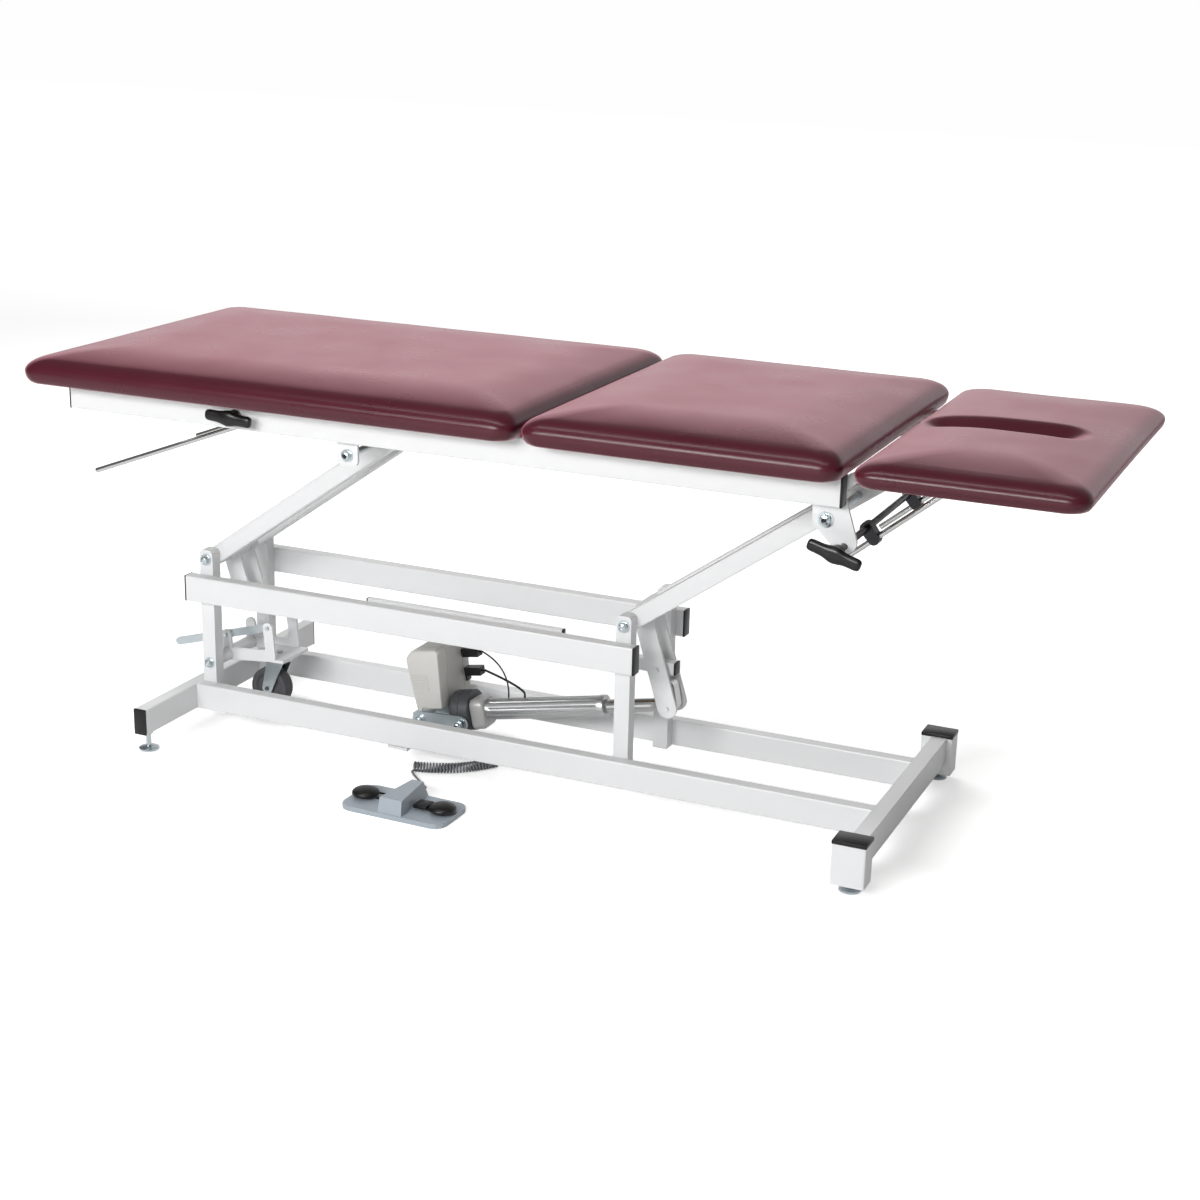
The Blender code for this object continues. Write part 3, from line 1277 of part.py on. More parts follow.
def coil_points():
    centre, radius, begin, end = coil_arc()
    curls = round(radius * (end - begin) / COIL_PITCH)
    points = []
    for k in range(curls * COIL_POINTS + 1):
        turn = FULL_TURN * k / COIL_POINTS - QUARTER_TURN
        where = begin + (end - begin) * k / (curls * COIL_POINTS)
        inward = Vector((-math.cos(where), -math.sin(where), ZERO))
        middle = Vector((centre[0], centre[1], COIL_FLOOR)) - inward * radius
        rise = Vector((ZERO, ZERO, math.sin(turn) * COIL_RADIUS))
        points.append(middle + inward * math.cos(turn) * COIL_RADIUS + rise)
    return points


def pedal_cord():
    place = pedal_place()
    gland = place @ Vector((ZERO, PEDAL_DEEP / TWO + GLAND_OUT + GAP, GLAND_Z))
    out = (place.to_3x3() @ Vector((0, 1, 0))).normalized()
    coil = coil_points()
    low = gland + out * CORD_TURN
    low.z = CORD_FLOOR + CORD_RADIUS
    lead_in = (coil[1] - coil[0]).normalized() * COIL_LEAD
    before = coil[0] - lead_in
    before.z = max(before.z, CORD_FLOOR)
    straight_in = gland + out * CORD_STRAIGHT
    run_in = bent_path([straight_in, low, before, coil[0]], HALF_share, LONG_ELBOW_STEPS)
    box = Vector((*BOX_GLAND, box_gland_z() - GAP))
    straight_out = box - Vector((ZERO, ZERO, CORD_STRAIGHT))
    lead_out = (coil[-1] - coil[-2]).normalized() * COIL_LEAD
    after = coil[-1] + lead_out
    after.z = max(after.z, CORD_FLOOR)
    turn = Vector((*FLOOR_BEND, CORD_FLOOR))
    below = Vector((BOX_GLAND[0] + CORD_TURN, BOX_GLAND[1] + CORD_RADIUS, CORD_FLOOR))
    rising = Vector((BOX_GLAND[0], BOX_GLAND[1], CORD_FLOOR + CORD_TURN))
    corners = [coil[-1], after, turn, below, rising, straight_out]
    run_out = bent_path(corners, HALF_share, LONG_ELBOW_STEPS)
    path = without_repeats([gland] + run_in + coil[1:-1] + run_out + [box])
    item = piece("pedal_cord", wire(path, CORD_RADIUS, 1), cord_rubber, (0, 0, 0), True)
    report_gap(path)
    return item


def report_gap(path):
    points = np.array([tuple(p) for p in path])
    steps = np.linalg.norm(np.diff(points, axis=0), axis=1)
    along = np.concatenate(([ZERO], np.cumsum(steps)))
    gaps = []
    for k in range(len(points)):
        others = points[np.abs(along - along[k]) > CORD_TURN]
        gaps.append(np.linalg.norm(points[k] - others, axis=1).min())
    least = min(gaps)
    print("cord length", round(along[-1], 4), "least gap to itself", round(least - CORD_RADIUS * TWO, 5))


def cable(name, rise, reach, radius):
    place = box_place()
    face = BOX_TOP_HALF + GAP
    y = (PLUG_Y - PLUG_WIDE / TWO, PLUG_Y + PLUG_WIDE / TWO)
    tall = (rise - PLUG_TALL / TWO, rise + PLUG_TALL / TWO)
    plug = slab([plain_box((face, face + PLUG_OUT), tall)], "XZ", *y, place)
    item = piece(name, plug, black_plastic)
    start = place @ Vector((face + PLUG_OUT - OVERRUN, PLUG_Y, rise))
    top = drive_point(reach, DRIVE_TUBE_RADIUS + GAP + GAP)
    end = Vector((top[0], ZERO, top[1]))
    above = end + Vector((ZERO, ZERO, CABLE_STRAIGHT))
    out = place @ Vector((face + PLUG_OUT + CABLE_STRAIGHT, PLUG_Y, rise))
    control = Vector((above.x, above.y, out.z))
    path = [start]
    for k in range(CABLE_POINTS + 1):
        t = k / CABLE_POINTS
        path.append(out * (1 - t) ** 2 + control * (2 * t * (1 - t)) + above * t ** 2)
    weld(item, wire(path + [end], radius, 1))


def cables():
    cable("motor_cable", MOTOR_PLUG_RISE, MOTOR_CABLE_REACH, CABLE_RADIUS)
    cable("sensor_cable", SENSOR_PLUG_RISE, SENSOR_CABLE_REACH, SENSOR_RADIUS)


# %% Build
def build():
    base_rails()
    posts()
    cross_beam()
    foot_frame()
    feet()
    shafts()
    arms()
    cranks()
    tie_tube()
    actuator_mount()
    actuator_motor()
    actuator_tube()
    actuator_rod()
    control_box()
    box_bar()
    top_rails()
    top_cross_tubes()
    top_shafts()
    section_pads()
    head_pad()
    long_support()
    head_support()
    clamps()
    handles()
    caster_lever()
    caster_pedal()
    caster_fork()
    caster_wheel()
    pedal_base()
    pedal_buttons()
    pedal_cord()
    cables()


def centre_on_floor():
    bpy.context.view_layer.update()
    spots = [item.matrix_world @ vert.co for item in PART.objects if item.type == "MESH"
             for vert in item.data.vertices]
    for axis in (0, 1):
        values = [spot[axis] for spot in spots]
        ROOT.location[axis] = -(min(values) + max(values)) / TWO
    bpy.context.view_layer.update()
    print("table centre", [round(value, 5) for value in ROOT.location], "nodes", len(PART.objects) - 1)


build()
centre_on_floor()
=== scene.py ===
# %% [markdown]
# A treatment table, dressed for its photograph. The solid model gives every place and
# every body; this script adds the camera, the light, the cord, the upholstery, the
# small trim and the materials. Lengths are metres, +X runs to the head end, +Z is up.

# %% Load the frame
import json
import math

import bmesh
import bpy
from mathutils import Matrix, Vector, noise

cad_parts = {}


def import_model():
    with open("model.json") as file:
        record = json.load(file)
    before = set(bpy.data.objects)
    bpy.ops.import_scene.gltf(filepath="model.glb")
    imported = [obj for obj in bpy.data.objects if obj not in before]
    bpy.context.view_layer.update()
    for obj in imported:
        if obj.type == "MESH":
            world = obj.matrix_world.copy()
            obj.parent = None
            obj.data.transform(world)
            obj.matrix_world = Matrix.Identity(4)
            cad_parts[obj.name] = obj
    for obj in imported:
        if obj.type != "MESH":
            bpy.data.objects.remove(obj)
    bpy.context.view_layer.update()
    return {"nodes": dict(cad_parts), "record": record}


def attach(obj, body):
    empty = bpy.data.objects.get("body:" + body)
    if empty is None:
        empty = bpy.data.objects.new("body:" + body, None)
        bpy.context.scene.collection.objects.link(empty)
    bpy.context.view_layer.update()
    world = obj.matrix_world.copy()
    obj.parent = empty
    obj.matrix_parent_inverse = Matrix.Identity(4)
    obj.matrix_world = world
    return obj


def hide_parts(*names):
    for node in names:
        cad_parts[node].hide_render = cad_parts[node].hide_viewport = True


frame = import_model()
NODES = frame["nodes"]
SHIFT = Vector((0.0100, 0.01035, 0.0))
FLOOR = 0.0


# %% [markdown]
# Part drawings measure from the table's own datum. The frame is centred on the floor,
# so a drawing point is moved by SHIFT once, here.

# %% Places and colours
def spot(x, y, z):
    return Vector((x, y, z)) + SHIFT


def linear(code):
    shares = [int(code[k:k + 2], 16) / 255 for k in (0, 2, 4)]
    return tuple(s / 12.92 if s <= 0.04045 else ((s + 0.055) / 1.055) ** 2.4 for s in shares) + (1.0,)


# %% [markdown]
# The camera stands in front of the head end and looks down a little, as the solved
# photograph does. Its three axes come from the yaw, pitch and roll of that solution.
# The Standard view keeps the white of the backdrop white.

# %% Camera
CAMERA_PLACE = Vector((1.46099, -3.26581, 1.46840))
CAMERA_YAW, CAMERA_PITCH, CAMERA_ROLL = -0.4086646, 0.3073428, 0.0241895
CAMERA_LENS = 62.3013


def aim(place, yaw, pitch, roll, lens):
    ahead = Vector((math.sin(yaw) * math.cos(pitch), math.cos(yaw) * math.cos(pitch), -math.sin(pitch)))
    right = ahead.cross(Vector((0, 0, 1))).normalized()
    up = right.cross(ahead)
    side = right * math.cos(roll) + up * math.sin(roll)
    top = up * math.cos(roll) - right * math.sin(roll)
    data = bpy.data.cameras.new("camera")
    data.lens = lens
    data.sensor_width = 36
    data.clip_end = 60
    item = bpy.data.objects.new("camera", data)
    bpy.context.scene.collection.objects.link(item)
    item.matrix_world = Matrix.Translation(place) @ Matrix((side, top, -ahead)).transposed().to_4x4()
    bpy.context.scene.camera = item


aim(CAMERA_PLACE, CAMERA_YAW, CAMERA_PITCH, CAMERA_ROLL, CAMERA_LENS)
bpy.context.scene.view_settings.view_transform = "Standard"
print("camera lens", CAMERA_LENS)


# %% [markdown]
# A finished mesh becomes a piece of the table in one place. `part` joins stray doubles,
# turns the normals outwards, smooths the faces but keeps the edges that are sharper than
# the given angle, gives the piece its material, tells the frame which body the piece rides
# on, and hides the solid nodes it stands for.

# %% A piece of the table
def part(name, mesh, look, body, nodes=(), smooth=40):
    bmesh.ops.remove_doubles(mesh, verts=mesh.verts, dist=1e-5)
    bmesh.ops.recalc_face_normals(mesh, faces=mesh.faces)
    data = bpy.data.meshes.new(name)
    mesh.to_mesh(data)
    mesh.free()
    data.materials.append(look)
    if smooth:
        data.shade_smooth()
        data.set_sharp_from_angle(angle=math.radians(smooth))
    item = bpy.data.objects.new(name, data)
    bpy.context.scene.collection.objects.link(item)
    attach(item, body)
    if nodes:
        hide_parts(*nodes)
    return item


# %% [markdown]
# Three ways to a mesh. A loft joins rings of equal count, for forms whose section changes
# by a formula, such as a pad or a bone-shaped grip. A lathe spins a profile round an axis
# and fills its two ends, for wheels, bolts and feet. A block is a bevelled cube, because
# no real edge is perfectly sharp and the bevel is what catches the light.

# %% Loft, lathe and block
def loft(rings, top=True):
    mesh = bmesh.new()
    loops = [[mesh.verts.new(p) for p in ring] for ring in rings]
    for low, high in zip(loops, loops[1:]):
        for k in range(len(low)):
            after = (k + 1) % len(low)
            mesh.faces.new((low[k], low[after], high[after], high[k]))
    mesh.faces.new(loops[0][::-1])
    if top:
        mesh.faces.new(loops[-1])
    return mesh


def lathe(centre, axis, profile, steps=48, mesh=None):
    mesh = mesh or bmesh.new()
    turn = Vector((0, 0, 1)).rotation_difference(Vector(axis)).to_matrix()
    verts = [mesh.verts.new(centre + turn @ Vector((radius, 0, along))) for radius, along in profile]
    edges = [mesh.edges.new(pair) for pair in zip(verts, verts[1:])]
    bmesh.ops.spin(mesh, geom=verts + edges, cent=centre, axis=axis, angle=math.tau, steps=steps,
                   use_merge=True)
    bmesh.ops.holes_fill(mesh, edges=[edge for edge in mesh.edges if edge.is_boundary], sides=0)
    return mesh


def block(low, high, bevel=0.001, place=None, mesh=None):
    mesh = mesh or bmesh.new()
    made = bmesh.ops.create_cube(mesh, size=1)["verts"]
    size = Vector(high) - Vector(low)
    middle = (Vector(high) + Vector(low)) / 2
    for vert in made:
        vert.co = Vector((vert.co.x * size.x, vert.co.y * size.y, vert.co.z * size.z)) + middle
    edges = list({edge for vert in made for edge in vert.link_edges})
    result = bmesh.ops.bevel(mesh, geom=edges, offset=bevel, segments=2, affect="EDGES", profile=0.5,
                             material=-1)
    if place:
        verts = {v for v in made if v.is_valid} | {v for f in result["faces"] for v in f.verts}
        bmesh.ops.transform(mesh, matrix=place, verts=list(verts))
    return mesh


def box_corners(u, v, radius):
    return ((u[1] - radius, v[1] - radius), (u[0] + radius, v[1] - radius),
            (u[0] + radius, v[0] + radius), (u[1] - radius, v[0] + radius))


def outline_box(u, v, radius, steps=6):
    points = []
    for quarter, (cu, cv) in enumerate(box_corners(u, v, radius)):
        for k in range(steps + 1):
            t = math.pi / 2 * (quarter + k / steps)
            points.append((cu + radius * math.cos(t), cv + radius * math.sin(t)))
    return points


# %% [markdown]
# Materials. `add` puts one node in a tree and links or sets its inputs. `surface`
# builds a Principled surface whose colour and roughness drift a little over the piece
# and whose bump has the real grain size, in millimetres. A perfectly even surface reads
# as plastic, so even the paint gets a little of both. No picture is used anywhere.

# %% Material helpers
def add(tree, kind, **inputs):
    node = tree.nodes.new(kind)
    for name, value in inputs.items():
        key = name.replace("_", " ")
        socket = node.inputs[int(key[5:])] if key.startswith("slot ") else node.inputs[key]
        if isinstance(value, bpy.types.NodeSocket):
            tree.links.new(value, socket)
        else:
            socket.default_value = value
    return node


def surface(name, code, rough, metal=0.0, grain=1.0, bump=0.02, drift=0.05, swing=0.06,
            stretch=(1, 1, 1), **more):
    look = bpy.data.materials.new(name)
    look.use_nodes = True
    tree = look.node_tree
    shader = tree.nodes["Principled BSDF"]
    shader.inputs["Metallic"].default_value = metal
    for key, value in more.items():
        shader.inputs[key.replace("_", " ")].default_value = value
    place = add(tree, "ShaderNodeTexCoord").outputs["Object"]
    pulled = add(tree, "ShaderNodeMapping", Vector=place, Scale=stretch).outputs[0]
    broad = add(tree, "ShaderNodeTexNoise", Vector=pulled, Scale=9.0, Detail=3.0).outputs[0]
    fine = add(tree, "ShaderNodeTexNoise", Vector=pulled, Scale=1000 / grain, Detail=2.0).outputs[0]
    base = linear(code)
    dark = tuple(c * (1 - drift) for c in base[:3]) + (1.0,)
    pale = tuple(min(1.0, c * (1 + drift)) for c in base[:3]) + (1.0,)
    tint = tree.nodes.new("ShaderNodeMix")
    tint.data_type = "RGBA"
    tree.links.new(broad, tint.inputs[0])
    tint.inputs[6].default_value = dark
    tint.inputs[7].default_value = pale
    tree.links.new(tint.outputs[2], shader.inputs["Base Color"])
    spread = add(tree, "ShaderNodeMapRange", Value=broad, From_Min=0.3, From_Max=0.7,
                 To_Min=rough - swing / 2, To_Max=rough + swing / 2).outputs[0]
    tree.links.new(spread, shader.inputs["Roughness"])
    relief = add(tree, "ShaderNodeBump", Height=fine, Strength=bump, Distance=0.001).outputs[0]
    tree.links.new(relief, shader.inputs["Normal"])
    return look


# %% [markdown]
# Vinyl: a leather-like grain of cells 1.3 mm across that fades into fine pores, a dark
# wine red whose colour is mixed to a painted pale pink sheen where it is seen at a low
# angle, and a thin clear coat that draws a streak along the front rolls.

# %% Vinyl
def vinyl():
    look = surface("burgundy_vinyl", "4E1624", 0.30, grain=0.5, bump=0.05, drift=0.07, swing=0.08,
                   Coat_Weight=0.10, Coat_Roughness=0.16, Specular_IOR_Level=0.38)
    tree = look.node_tree
    shader = tree.nodes["Principled BSDF"]
    place = next(n for n in tree.nodes if n.type == "TEX_COORD").outputs["Object"]
    old = shader.inputs["Normal"].links[0].from_socket
    cells = tree.nodes.new("ShaderNodeTexVoronoi")
    cells.feature = "DISTANCE_TO_EDGE"
    cells.inputs["Scale"].default_value = 1000 / 1.3
    tree.links.new(place, cells.inputs["Vector"])
    edge = cells.outputs["Distance"]
    groove = add(tree, "ShaderNodeMapRange", Value=edge, From_Min=0.0, From_Max=0.25).outputs[0]
    # Painted sheen: by view angle the base colour is mixed towards pale pink, standing in for the
    # reflection on the flat tops.
    facing = add(tree, "ShaderNodeLayerWeight", Blend=0.5).outputs["Facing"]
    painted_sheen_share = add(tree, "ShaderNodeMapRange", Value=facing, From_Min=0.58, From_Max=0.80).outputs[0]
    mixed = tree.nodes.new("ShaderNodeMix")
    mixed.data_type = "RGBA"
    tree.links.new(painted_sheen_share, mixed.inputs[0])
    tree.links.new(shader.inputs["Base Color"].links[0].from_socket, mixed.inputs[6])
    mixed.inputs[7].default_value = linear("A8606E")
    tree.links.new(mixed.outputs[2], shader.inputs["Base Color"])
    skin = add(tree, "ShaderNodeBump", Height=groove, Strength=0.10, Distance=0.0004,
               Normal=old).outputs[0]
    tree.links.new(skin, shader.inputs["Normal"])
    return look


# %% [markdown]
# The other finishes. Each line gives a name, a colour, a roughness and whether it is a
# metal, and the comment above it says what its pattern gives the eye. FINISH then maps
# each slot of the record to its material, and every solid node takes its own.

# %% The finishes
# White powder coat: satin, with a fine orange peel that breaks up its highlights.
PAINT = surface("frame_paint", "E5E6E7", 0.36, grain=1.6, bump=0.03, drift=0.015, swing=0.08)
# Zinc plate: a cool grey metal whose blotches read as plating.
ZINC = surface("zinc_plate", "CDD6DA", 0.28, 1.0, grain=0.8, bump=0.03, drift=0.08, swing=0.14)
# Blackened steel: darker, oiled, with brighter worn patches.
DARK = surface("dark_steel", "3A3A3D", 0.30, 1.0, grain=0.8, bump=0.05, drift=0.35, swing=0.18)
# Chrome: near mirror, so it only drifts slightly.
CHROME = surface("chrome_rod", "D4D4D4", 0.13, 1.0, grain=2.0, bump=0.01, drift=0.03, swing=0.05)
# Extruded aluminium: drawn lines run along the tube.
ALUMINIUM = surface("fluted_aluminium", "D4D5D6", 0.32, 1.0, grain=0.6, bump=0.04, drift=0.06,
                    swing=0.1, stretch=(0.05, 1, 1))
# Moulded plastics: a fine spark-eroded texture.
BLACK = surface("black_plastic", "0D0D0E", 0.34, grain=0.7, bump=0.05, drift=0.15, swing=0.1)
GREY = surface("grey_plastic", "CBCAC6", 0.48, grain=0.7, bump=0.06, drift=0.03)
DRUM = surface("drum_casting", "55575A", 0.42, 0.5, grain=1.2, bump=0.12, drift=0.14, swing=0.12)
CAST = surface("sleeve_casting", "B9B9B8", 0.40, 0.35, grain=1.2, bump=0.10, drift=0.06, swing=0.12)
PEDAL = surface("pedal_plastic", "A3ACB4", 0.46, grain=0.8, bump=0.06, drift=0.03)
# Cord jacket and tyre: matt rubbers.
JACKET = surface("cord_jacket", "6E7073", 0.5, grain=0.6, bump=0.04, drift=0.08)
TYRE = surface("tyre_rubber", "4A4A4E", 0.62, grain=0.9, bump=0.12, drift=0.10)
# Plywood: a board with its grain drawn along X, its colour darkened beyond plain wood so that the gaps
# between the pads read dark, which is painted shade.
PLY = surface("plywood", "6A563E", 0.68, grain=1.1, bump=0.10, drift=0.16, swing=0.1,
              stretch=(0.08, 1, 1))
VINYL = vinyl()

FINISH = {"frame_paint": PAINT, "zinc_plate": ZINC, "dark_steel": DARK, "chrome_rod": CHROME,
          "burgundy_vinyl": VINYL, "plywood": PLY, "black_plastic": BLACK, "grey_plastic": GREY,
          "pedal_plastic": PEDAL, "cord_jacket": JACKET, "fluted_aluminium": ALUMINIUM,
          "tyre_rubber": TYRE}
for entry in frame["record"]["subparts"]:
    node = NODES[entry["node"]]
    node.data.materials.clear()
    node.data.materials.append(FINISH[entry["material_slot"]])
print("finishes", sorted(FINISH))


# %% [markdown]
# The foot control's cord. Its place is fixed by the solid model: out of the gland, along
# the floor, through one curly stretch, and up into the control box. A curve with a
# round bevel is the simplest way to a wire, and its points repeat the solid's route with
# rounder curls.

# %% Curly cord
CORD_RADIUS = 0.0021
COIL_RADIUS = 0.0079
COIL_PITCH = 0.0058
CORD_FLOOR = 0.0024
COIL_FLOOR = 0.0103
CURL_POINTS = 16
PEDAL_PLACE = Vector((-0.2015, -0.3085, 0))
PEDAL_TURN = math.radians(-1.2)
GLAND_REACH, GLAND_RISE = 0.0608, 0.0240
COIL_PLAN = ((-0.2697, -0.1485), (-0.2110, -0.1285), (-0.1440, -0.0620))
COIL_LEAD = 0.0105
CORD_STUB = 0.0042
BOX_GLAND = Vector((-0.2860, 0.0600, 0.0707))
SAME_POINT = 2e-5


def bend(start, corner, stop, steps):
    arc = []
    for k in range(steps + 1):
        t = k / steps
        arc.append(start * (1 - t) ** 2 + corner * (2 * t * (1 - t)) + stop * t ** 2)
    return arc


def bent_path(points, share, steps):
    path = [points[0]]
    for before, corner, after in zip(points, points[1:], points[2:]):
        start, stop = corner + (before - corner) * share, corner + (after - corner) * share
        path += bend(start, corner, stop, steps)
    return path + [points[-1]]


# The coil lies on the circle through three points of the plan.
def coil_points(a, b, c):
    d = ((a[0] - c[0]) * (b[1] - c[1]) - (b[0] - c[0]) * (a[1] - c[1])) * 2
    p = (a[0] - c[0]) * (a[0] + c[0]) + (a[1] - c[1]) * (a[1] + c[1])
    q = (b[0] - c[0]) * (b[0] + c[0]) + (b[1] - c[1]) * (b[1] + c[1])
    hub = ((p * (b[1] - c[1]) - q * (a[1] - c[1])) / d, (q * (a[0] - c[0]) - p * (b[0] - c[0])) / d)
    radius = math.dist(hub, a)
    begin, end = (math.atan2(s[1] - hub[1], s[0] - hub[0]) for s in (a, c))
    curls = round(radius * (end - begin) / COIL_PITCH)
    points = []
    for k in range(curls * CURL_POINTS + 1):
        turn = math.tau * k / CURL_POINTS - math.pi / 2
        where = begin + (end - begin) * k / (curls * CURL_POINTS)
        inward = Vector((-math.cos(where), -math.sin(where), 0))
        middle = Vector((hub[0], hub[1], COIL_FLOOR)) - inward * radius
        lifted = Vector((0, 0, math.sin(turn) * COIL_RADIUS))
        points.append(middle + inward * math.cos(turn) * COIL_RADIUS + lifted)
    return points


def cord_path():
    turn = Matrix.Rotation(PEDAL_TURN, 3, "Z")
    out = turn @ Vector((0, 1, 0))
    gland = PEDAL_PLACE + out * GLAND_REACH + Vector((0, 0, GLAND_RISE))
    coil = coil_points(*COIL_PLAN)
    low = gland + out * 0.0252
    low.z = CORD_FLOOR + CORD_RADIUS
    before = coil[0] - (coil[1] - coil[0]).normalized() * COIL_LEAD
    before.z = max(before.z, CORD_FLOOR)
    run_in = bent_path([gland + out * CORD_STUB, low, before, coil[0]], 0.5, 8)
    after = coil[-1] + (coil[-1] - coil[-2]).normalized() * COIL_LEAD
    after.z = max(after.z, CORD_FLOOR)
    corners = [coil[-1], after, Vector((-0.1900, 0.0500, CORD_FLOOR)),
               Vector((-0.2608, 0.0621, CORD_FLOOR)), Vector((-0.2860, 0.0600, 0.0276)),
               BOX_GLAND - Vector((0, 0, CORD_STUB))]
    path = [gland] + run_in + coil[1:-1] + bent_path(corners, 0.5, 8) + [BOX_GLAND]
    kept = [path[0]]
    for point in path[1:]:
        if (point - kept[-1]).length > SAME_POINT:
            kept.append(point)
    return [point + SHIFT for point in kept]


def make_cord():
    path = cord_path()
    curve = bpy.data.curves.new("pedal_cord_wire", "CURVE")
    curve.dimensions = "3D"
    curve.bevel_depth = CORD_RADIUS
    curve.bevel_resolution = 3
    curve.use_fill_caps = True
    spline = curve.splines.new("POLY")
    spline.points.add(len(path) - 1)
    for knot, point in zip(spline.points, path):
        knot.co = (*point, 1)
    spline.use_smooth = True
    curve.materials.append(JACKET)
    item = bpy.data.objects.new("pedal_cord_wire", curve)
    bpy.context.scene.collection.objects.link(item)
    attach(item, "base")
    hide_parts("pedal_cord")


make_cord()


# %% [markdown]
# Upholstery. On the real table a pad is foam on a board, with vinyl pulled round it and
# stapled underneath. A pad is drawn as a stack of closed rings, from the staple line,
# round the nose, over the roll, up the low crown and in to the middle, because each
# ring can then be pinched or dished by a formula. The sides draw in a hair between the
# corners, and the vinyl creases a little near each corner. The head pad has a dished
# slot with soft lips.

# %% Pad sizes
PAD_HALF = 0.343
PAD_BOTTOM = 0.6904
ROLL_WIDE = 0.046
ROLL_TOP_share = 0.82
ROLL_TURN = math.radians(67)
CROWN_WIDE = 0.150
CROWN_POWER = 1.92
NOSE_share = 0.36
TUCK_WIDE = 0.012
CORNER_RADIUS = 0.034
STAPLE_INSET, STAPLE_RISE = 0.0245, 0.0096
SIDE_PULL, END_PULL = 0.0016, 0.0012
RIPPLE, CREASE = 0.0007, 0.0004
FACE_SLOT = ((0.6120, 0.8620), 0.032, 0.017)
SLOT_LIP, SLOT_SLOPE = 0.020, 0.052


# %% [markdown]
# One ring of a pad is a rounded rectangle with the same count of points at every inset,
# so that the loft can join it to the next. The rings are listed from the staple line
# under the board: the tuck, the nose, the roll, and then the crown, which falls away
# gently from the middle so that the light grades across it.

# %% Rings of a pad
def side_count(length, step):
    return max(2, round(length / step))


def pad_loop(x, inset, counts):
    u = (x[0] + inset, x[1] - inset)
    v = (-PAD_HALF + inset, PAD_HALF - inset)
    radius = max(0.0002, CORNER_RADIUS - inset * 0.15)
    radius = min(radius, (u[1] - u[0]) / 2, (v[1] - v[0]) / 2)
    corners = box_corners(u, v, radius)
    points = []
    for quarter, (cu, cv) in enumerate(corners):
        for k in range(11):
            t = math.pi / 2 * (quarter + k / 10)
            points.append(Vector((cu + radius * math.cos(t), cv + radius * math.sin(t), 0)))
        start = points[-1]
        nu, nv = corners[(quarter + 1) % 4]
        t = math.pi / 2 * (quarter + 1)
        stop = Vector((nu + radius * math.cos(t), nv + radius * math.sin(t), 0))
        for k in range(1, counts[quarter % 2]):
            points.append(start.lerp(stop, k / counts[quarter % 2]))
    return points


def pad_rings(tall, reach, fine):
    nose = tall * NOSE_share
    rings = [(STAPLE_INSET, STAPLE_RISE), (STAPLE_INSET, 0.0), (TUCK_WIDE + 0.003, 0.0)]
    for k in range(7):
        t = math.pi / 2 * (k / 6 - 1)
        lip = 0.0012 if k == 0 else 0
        rings.append((TUCK_WIDE * (1 - math.cos(t)), nose * (1 + math.sin(t)) + lip))
    roll = tall * ROLL_TOP_share - nose
    for k in range(1, 11):
        t = ROLL_TURN * k / 10
        rings.append((ROLL_WIDE * (1 - math.cos(t)), nose + roll * math.sin(t)))
    inner, shoulder = rings[-1]
    count = round((reach - inner) / fine)
    for k in range(1, count + 1):
        inset = inner + (reach - inner) * k / count
        share = min(1.0, (inset - inner) / (CROWN_WIDE - inner))
        rings.append((inset, tall - (tall - shoulder) * (1 - share) ** CROWN_POWER))
    return rings


# %% [markdown]
# Moving the points. The slot is dished by a smooth step of the distance to its middle
# line. Away from the staple line each point also takes a slow ripple, a fine crease near
# the corners, and a pull inwards along the sides, as vinyl under tension does.

# %% Dress a pad
def dish(point, slot):
    x, half, deep = slot
    near = min(max(point.x, x[0] + half), x[1] - half)
    gap = math.hypot(point.x - near, point.y) - half
    share = min(1.0, max(0.0, (SLOT_LIP - gap) / SLOT_SLOPE))
    return deep * share * share * (3 - 2 * share)


def pad(name, node, body, x, tall, fine, slot=None):
    reach = min((x[1] - x[0]) / 2, PAD_HALF) - 2e-6
    step = 0.006 if slot else 0.016
    counts = (side_count(x[1] - x[0], step), side_count(2 * PAD_HALF, step))
    rings = []
    middle = Vector(((x[0] + x[1]) / 2, 0, 0))
    half = Vector(((x[1] - x[0]) / 2, PAD_HALF, 0))
    for inset, rise in pad_rings(tall, reach, fine):
        ring = []
        for p in pad_loop(x, inset, counts):
            along = (abs(p.x - middle.x) / half.x, abs(p.y) / half.y)
            low_corner = max(0.0, min(along) - 0.80) / 0.20
            pull = SIDE_PULL * (1 - along[0] ** 2) * (along[1] > 0.9)
            pull += END_PULL * (1 - along[1] ** 2) * (along[0] > 0.95)
            z = rise
            if 0.002 < rise:
                ripple = noise.noise(Vector((p.x * 9, p.y * 9, 3.1))) * RIPPLE
                wave = math.sin(math.atan2(p.y, p.x - middle.x) * 150)
                crease = wave * CREASE * low_corner * (1 - rise / tall)
                z += ripple * min(1.0, inset / 0.05) + crease
                p = p - Vector((math.copysign(pull, p.x - middle.x) * (along[0] > 0.95),
                                math.copysign(pull, p.y) * (along[1] > 0.9), 0))
            if slot:
                z -= dish(p, slot)
            ring.append(spot(p.x, p.y, PAD_BOTTOM + z))
        rings.append(ring)
    item = part(name, loft(rings, top=False), VINYL, body, (node,), smooth=70)
    print(name, len(rings), "rings")


pad("long_pad", "long_cushion", "long_section", (-0.9650, 0.0130), 0.058, 0.012)
pad("middle_pad", "mid_cushion", "top_frame", (0.0230, 0.5650), 0.058, 0.012)
pad("head_pad", "head_cushion", "head_section", (0.5830, 0.9450), 0.049, 0.0045, FACE_SLOT)


# %% [markdown]
# Caps. Every open tube end carries a black plastic plug. A bevelled block is enough,
# as only its flat face and its soft edge show.

# %% Tube caps
def cap(name, centre, axis, wide, tall, body, thick=0.004):
    sizes = {"X": (thick, wide, tall), "Y": (wide, thick, tall), "Z": (wide, tall, thick)}
    reach = Vector(sizes[axis]) / 2
    part(name, block(centre - reach, centre + reach, 0.0012), BLACK, body)


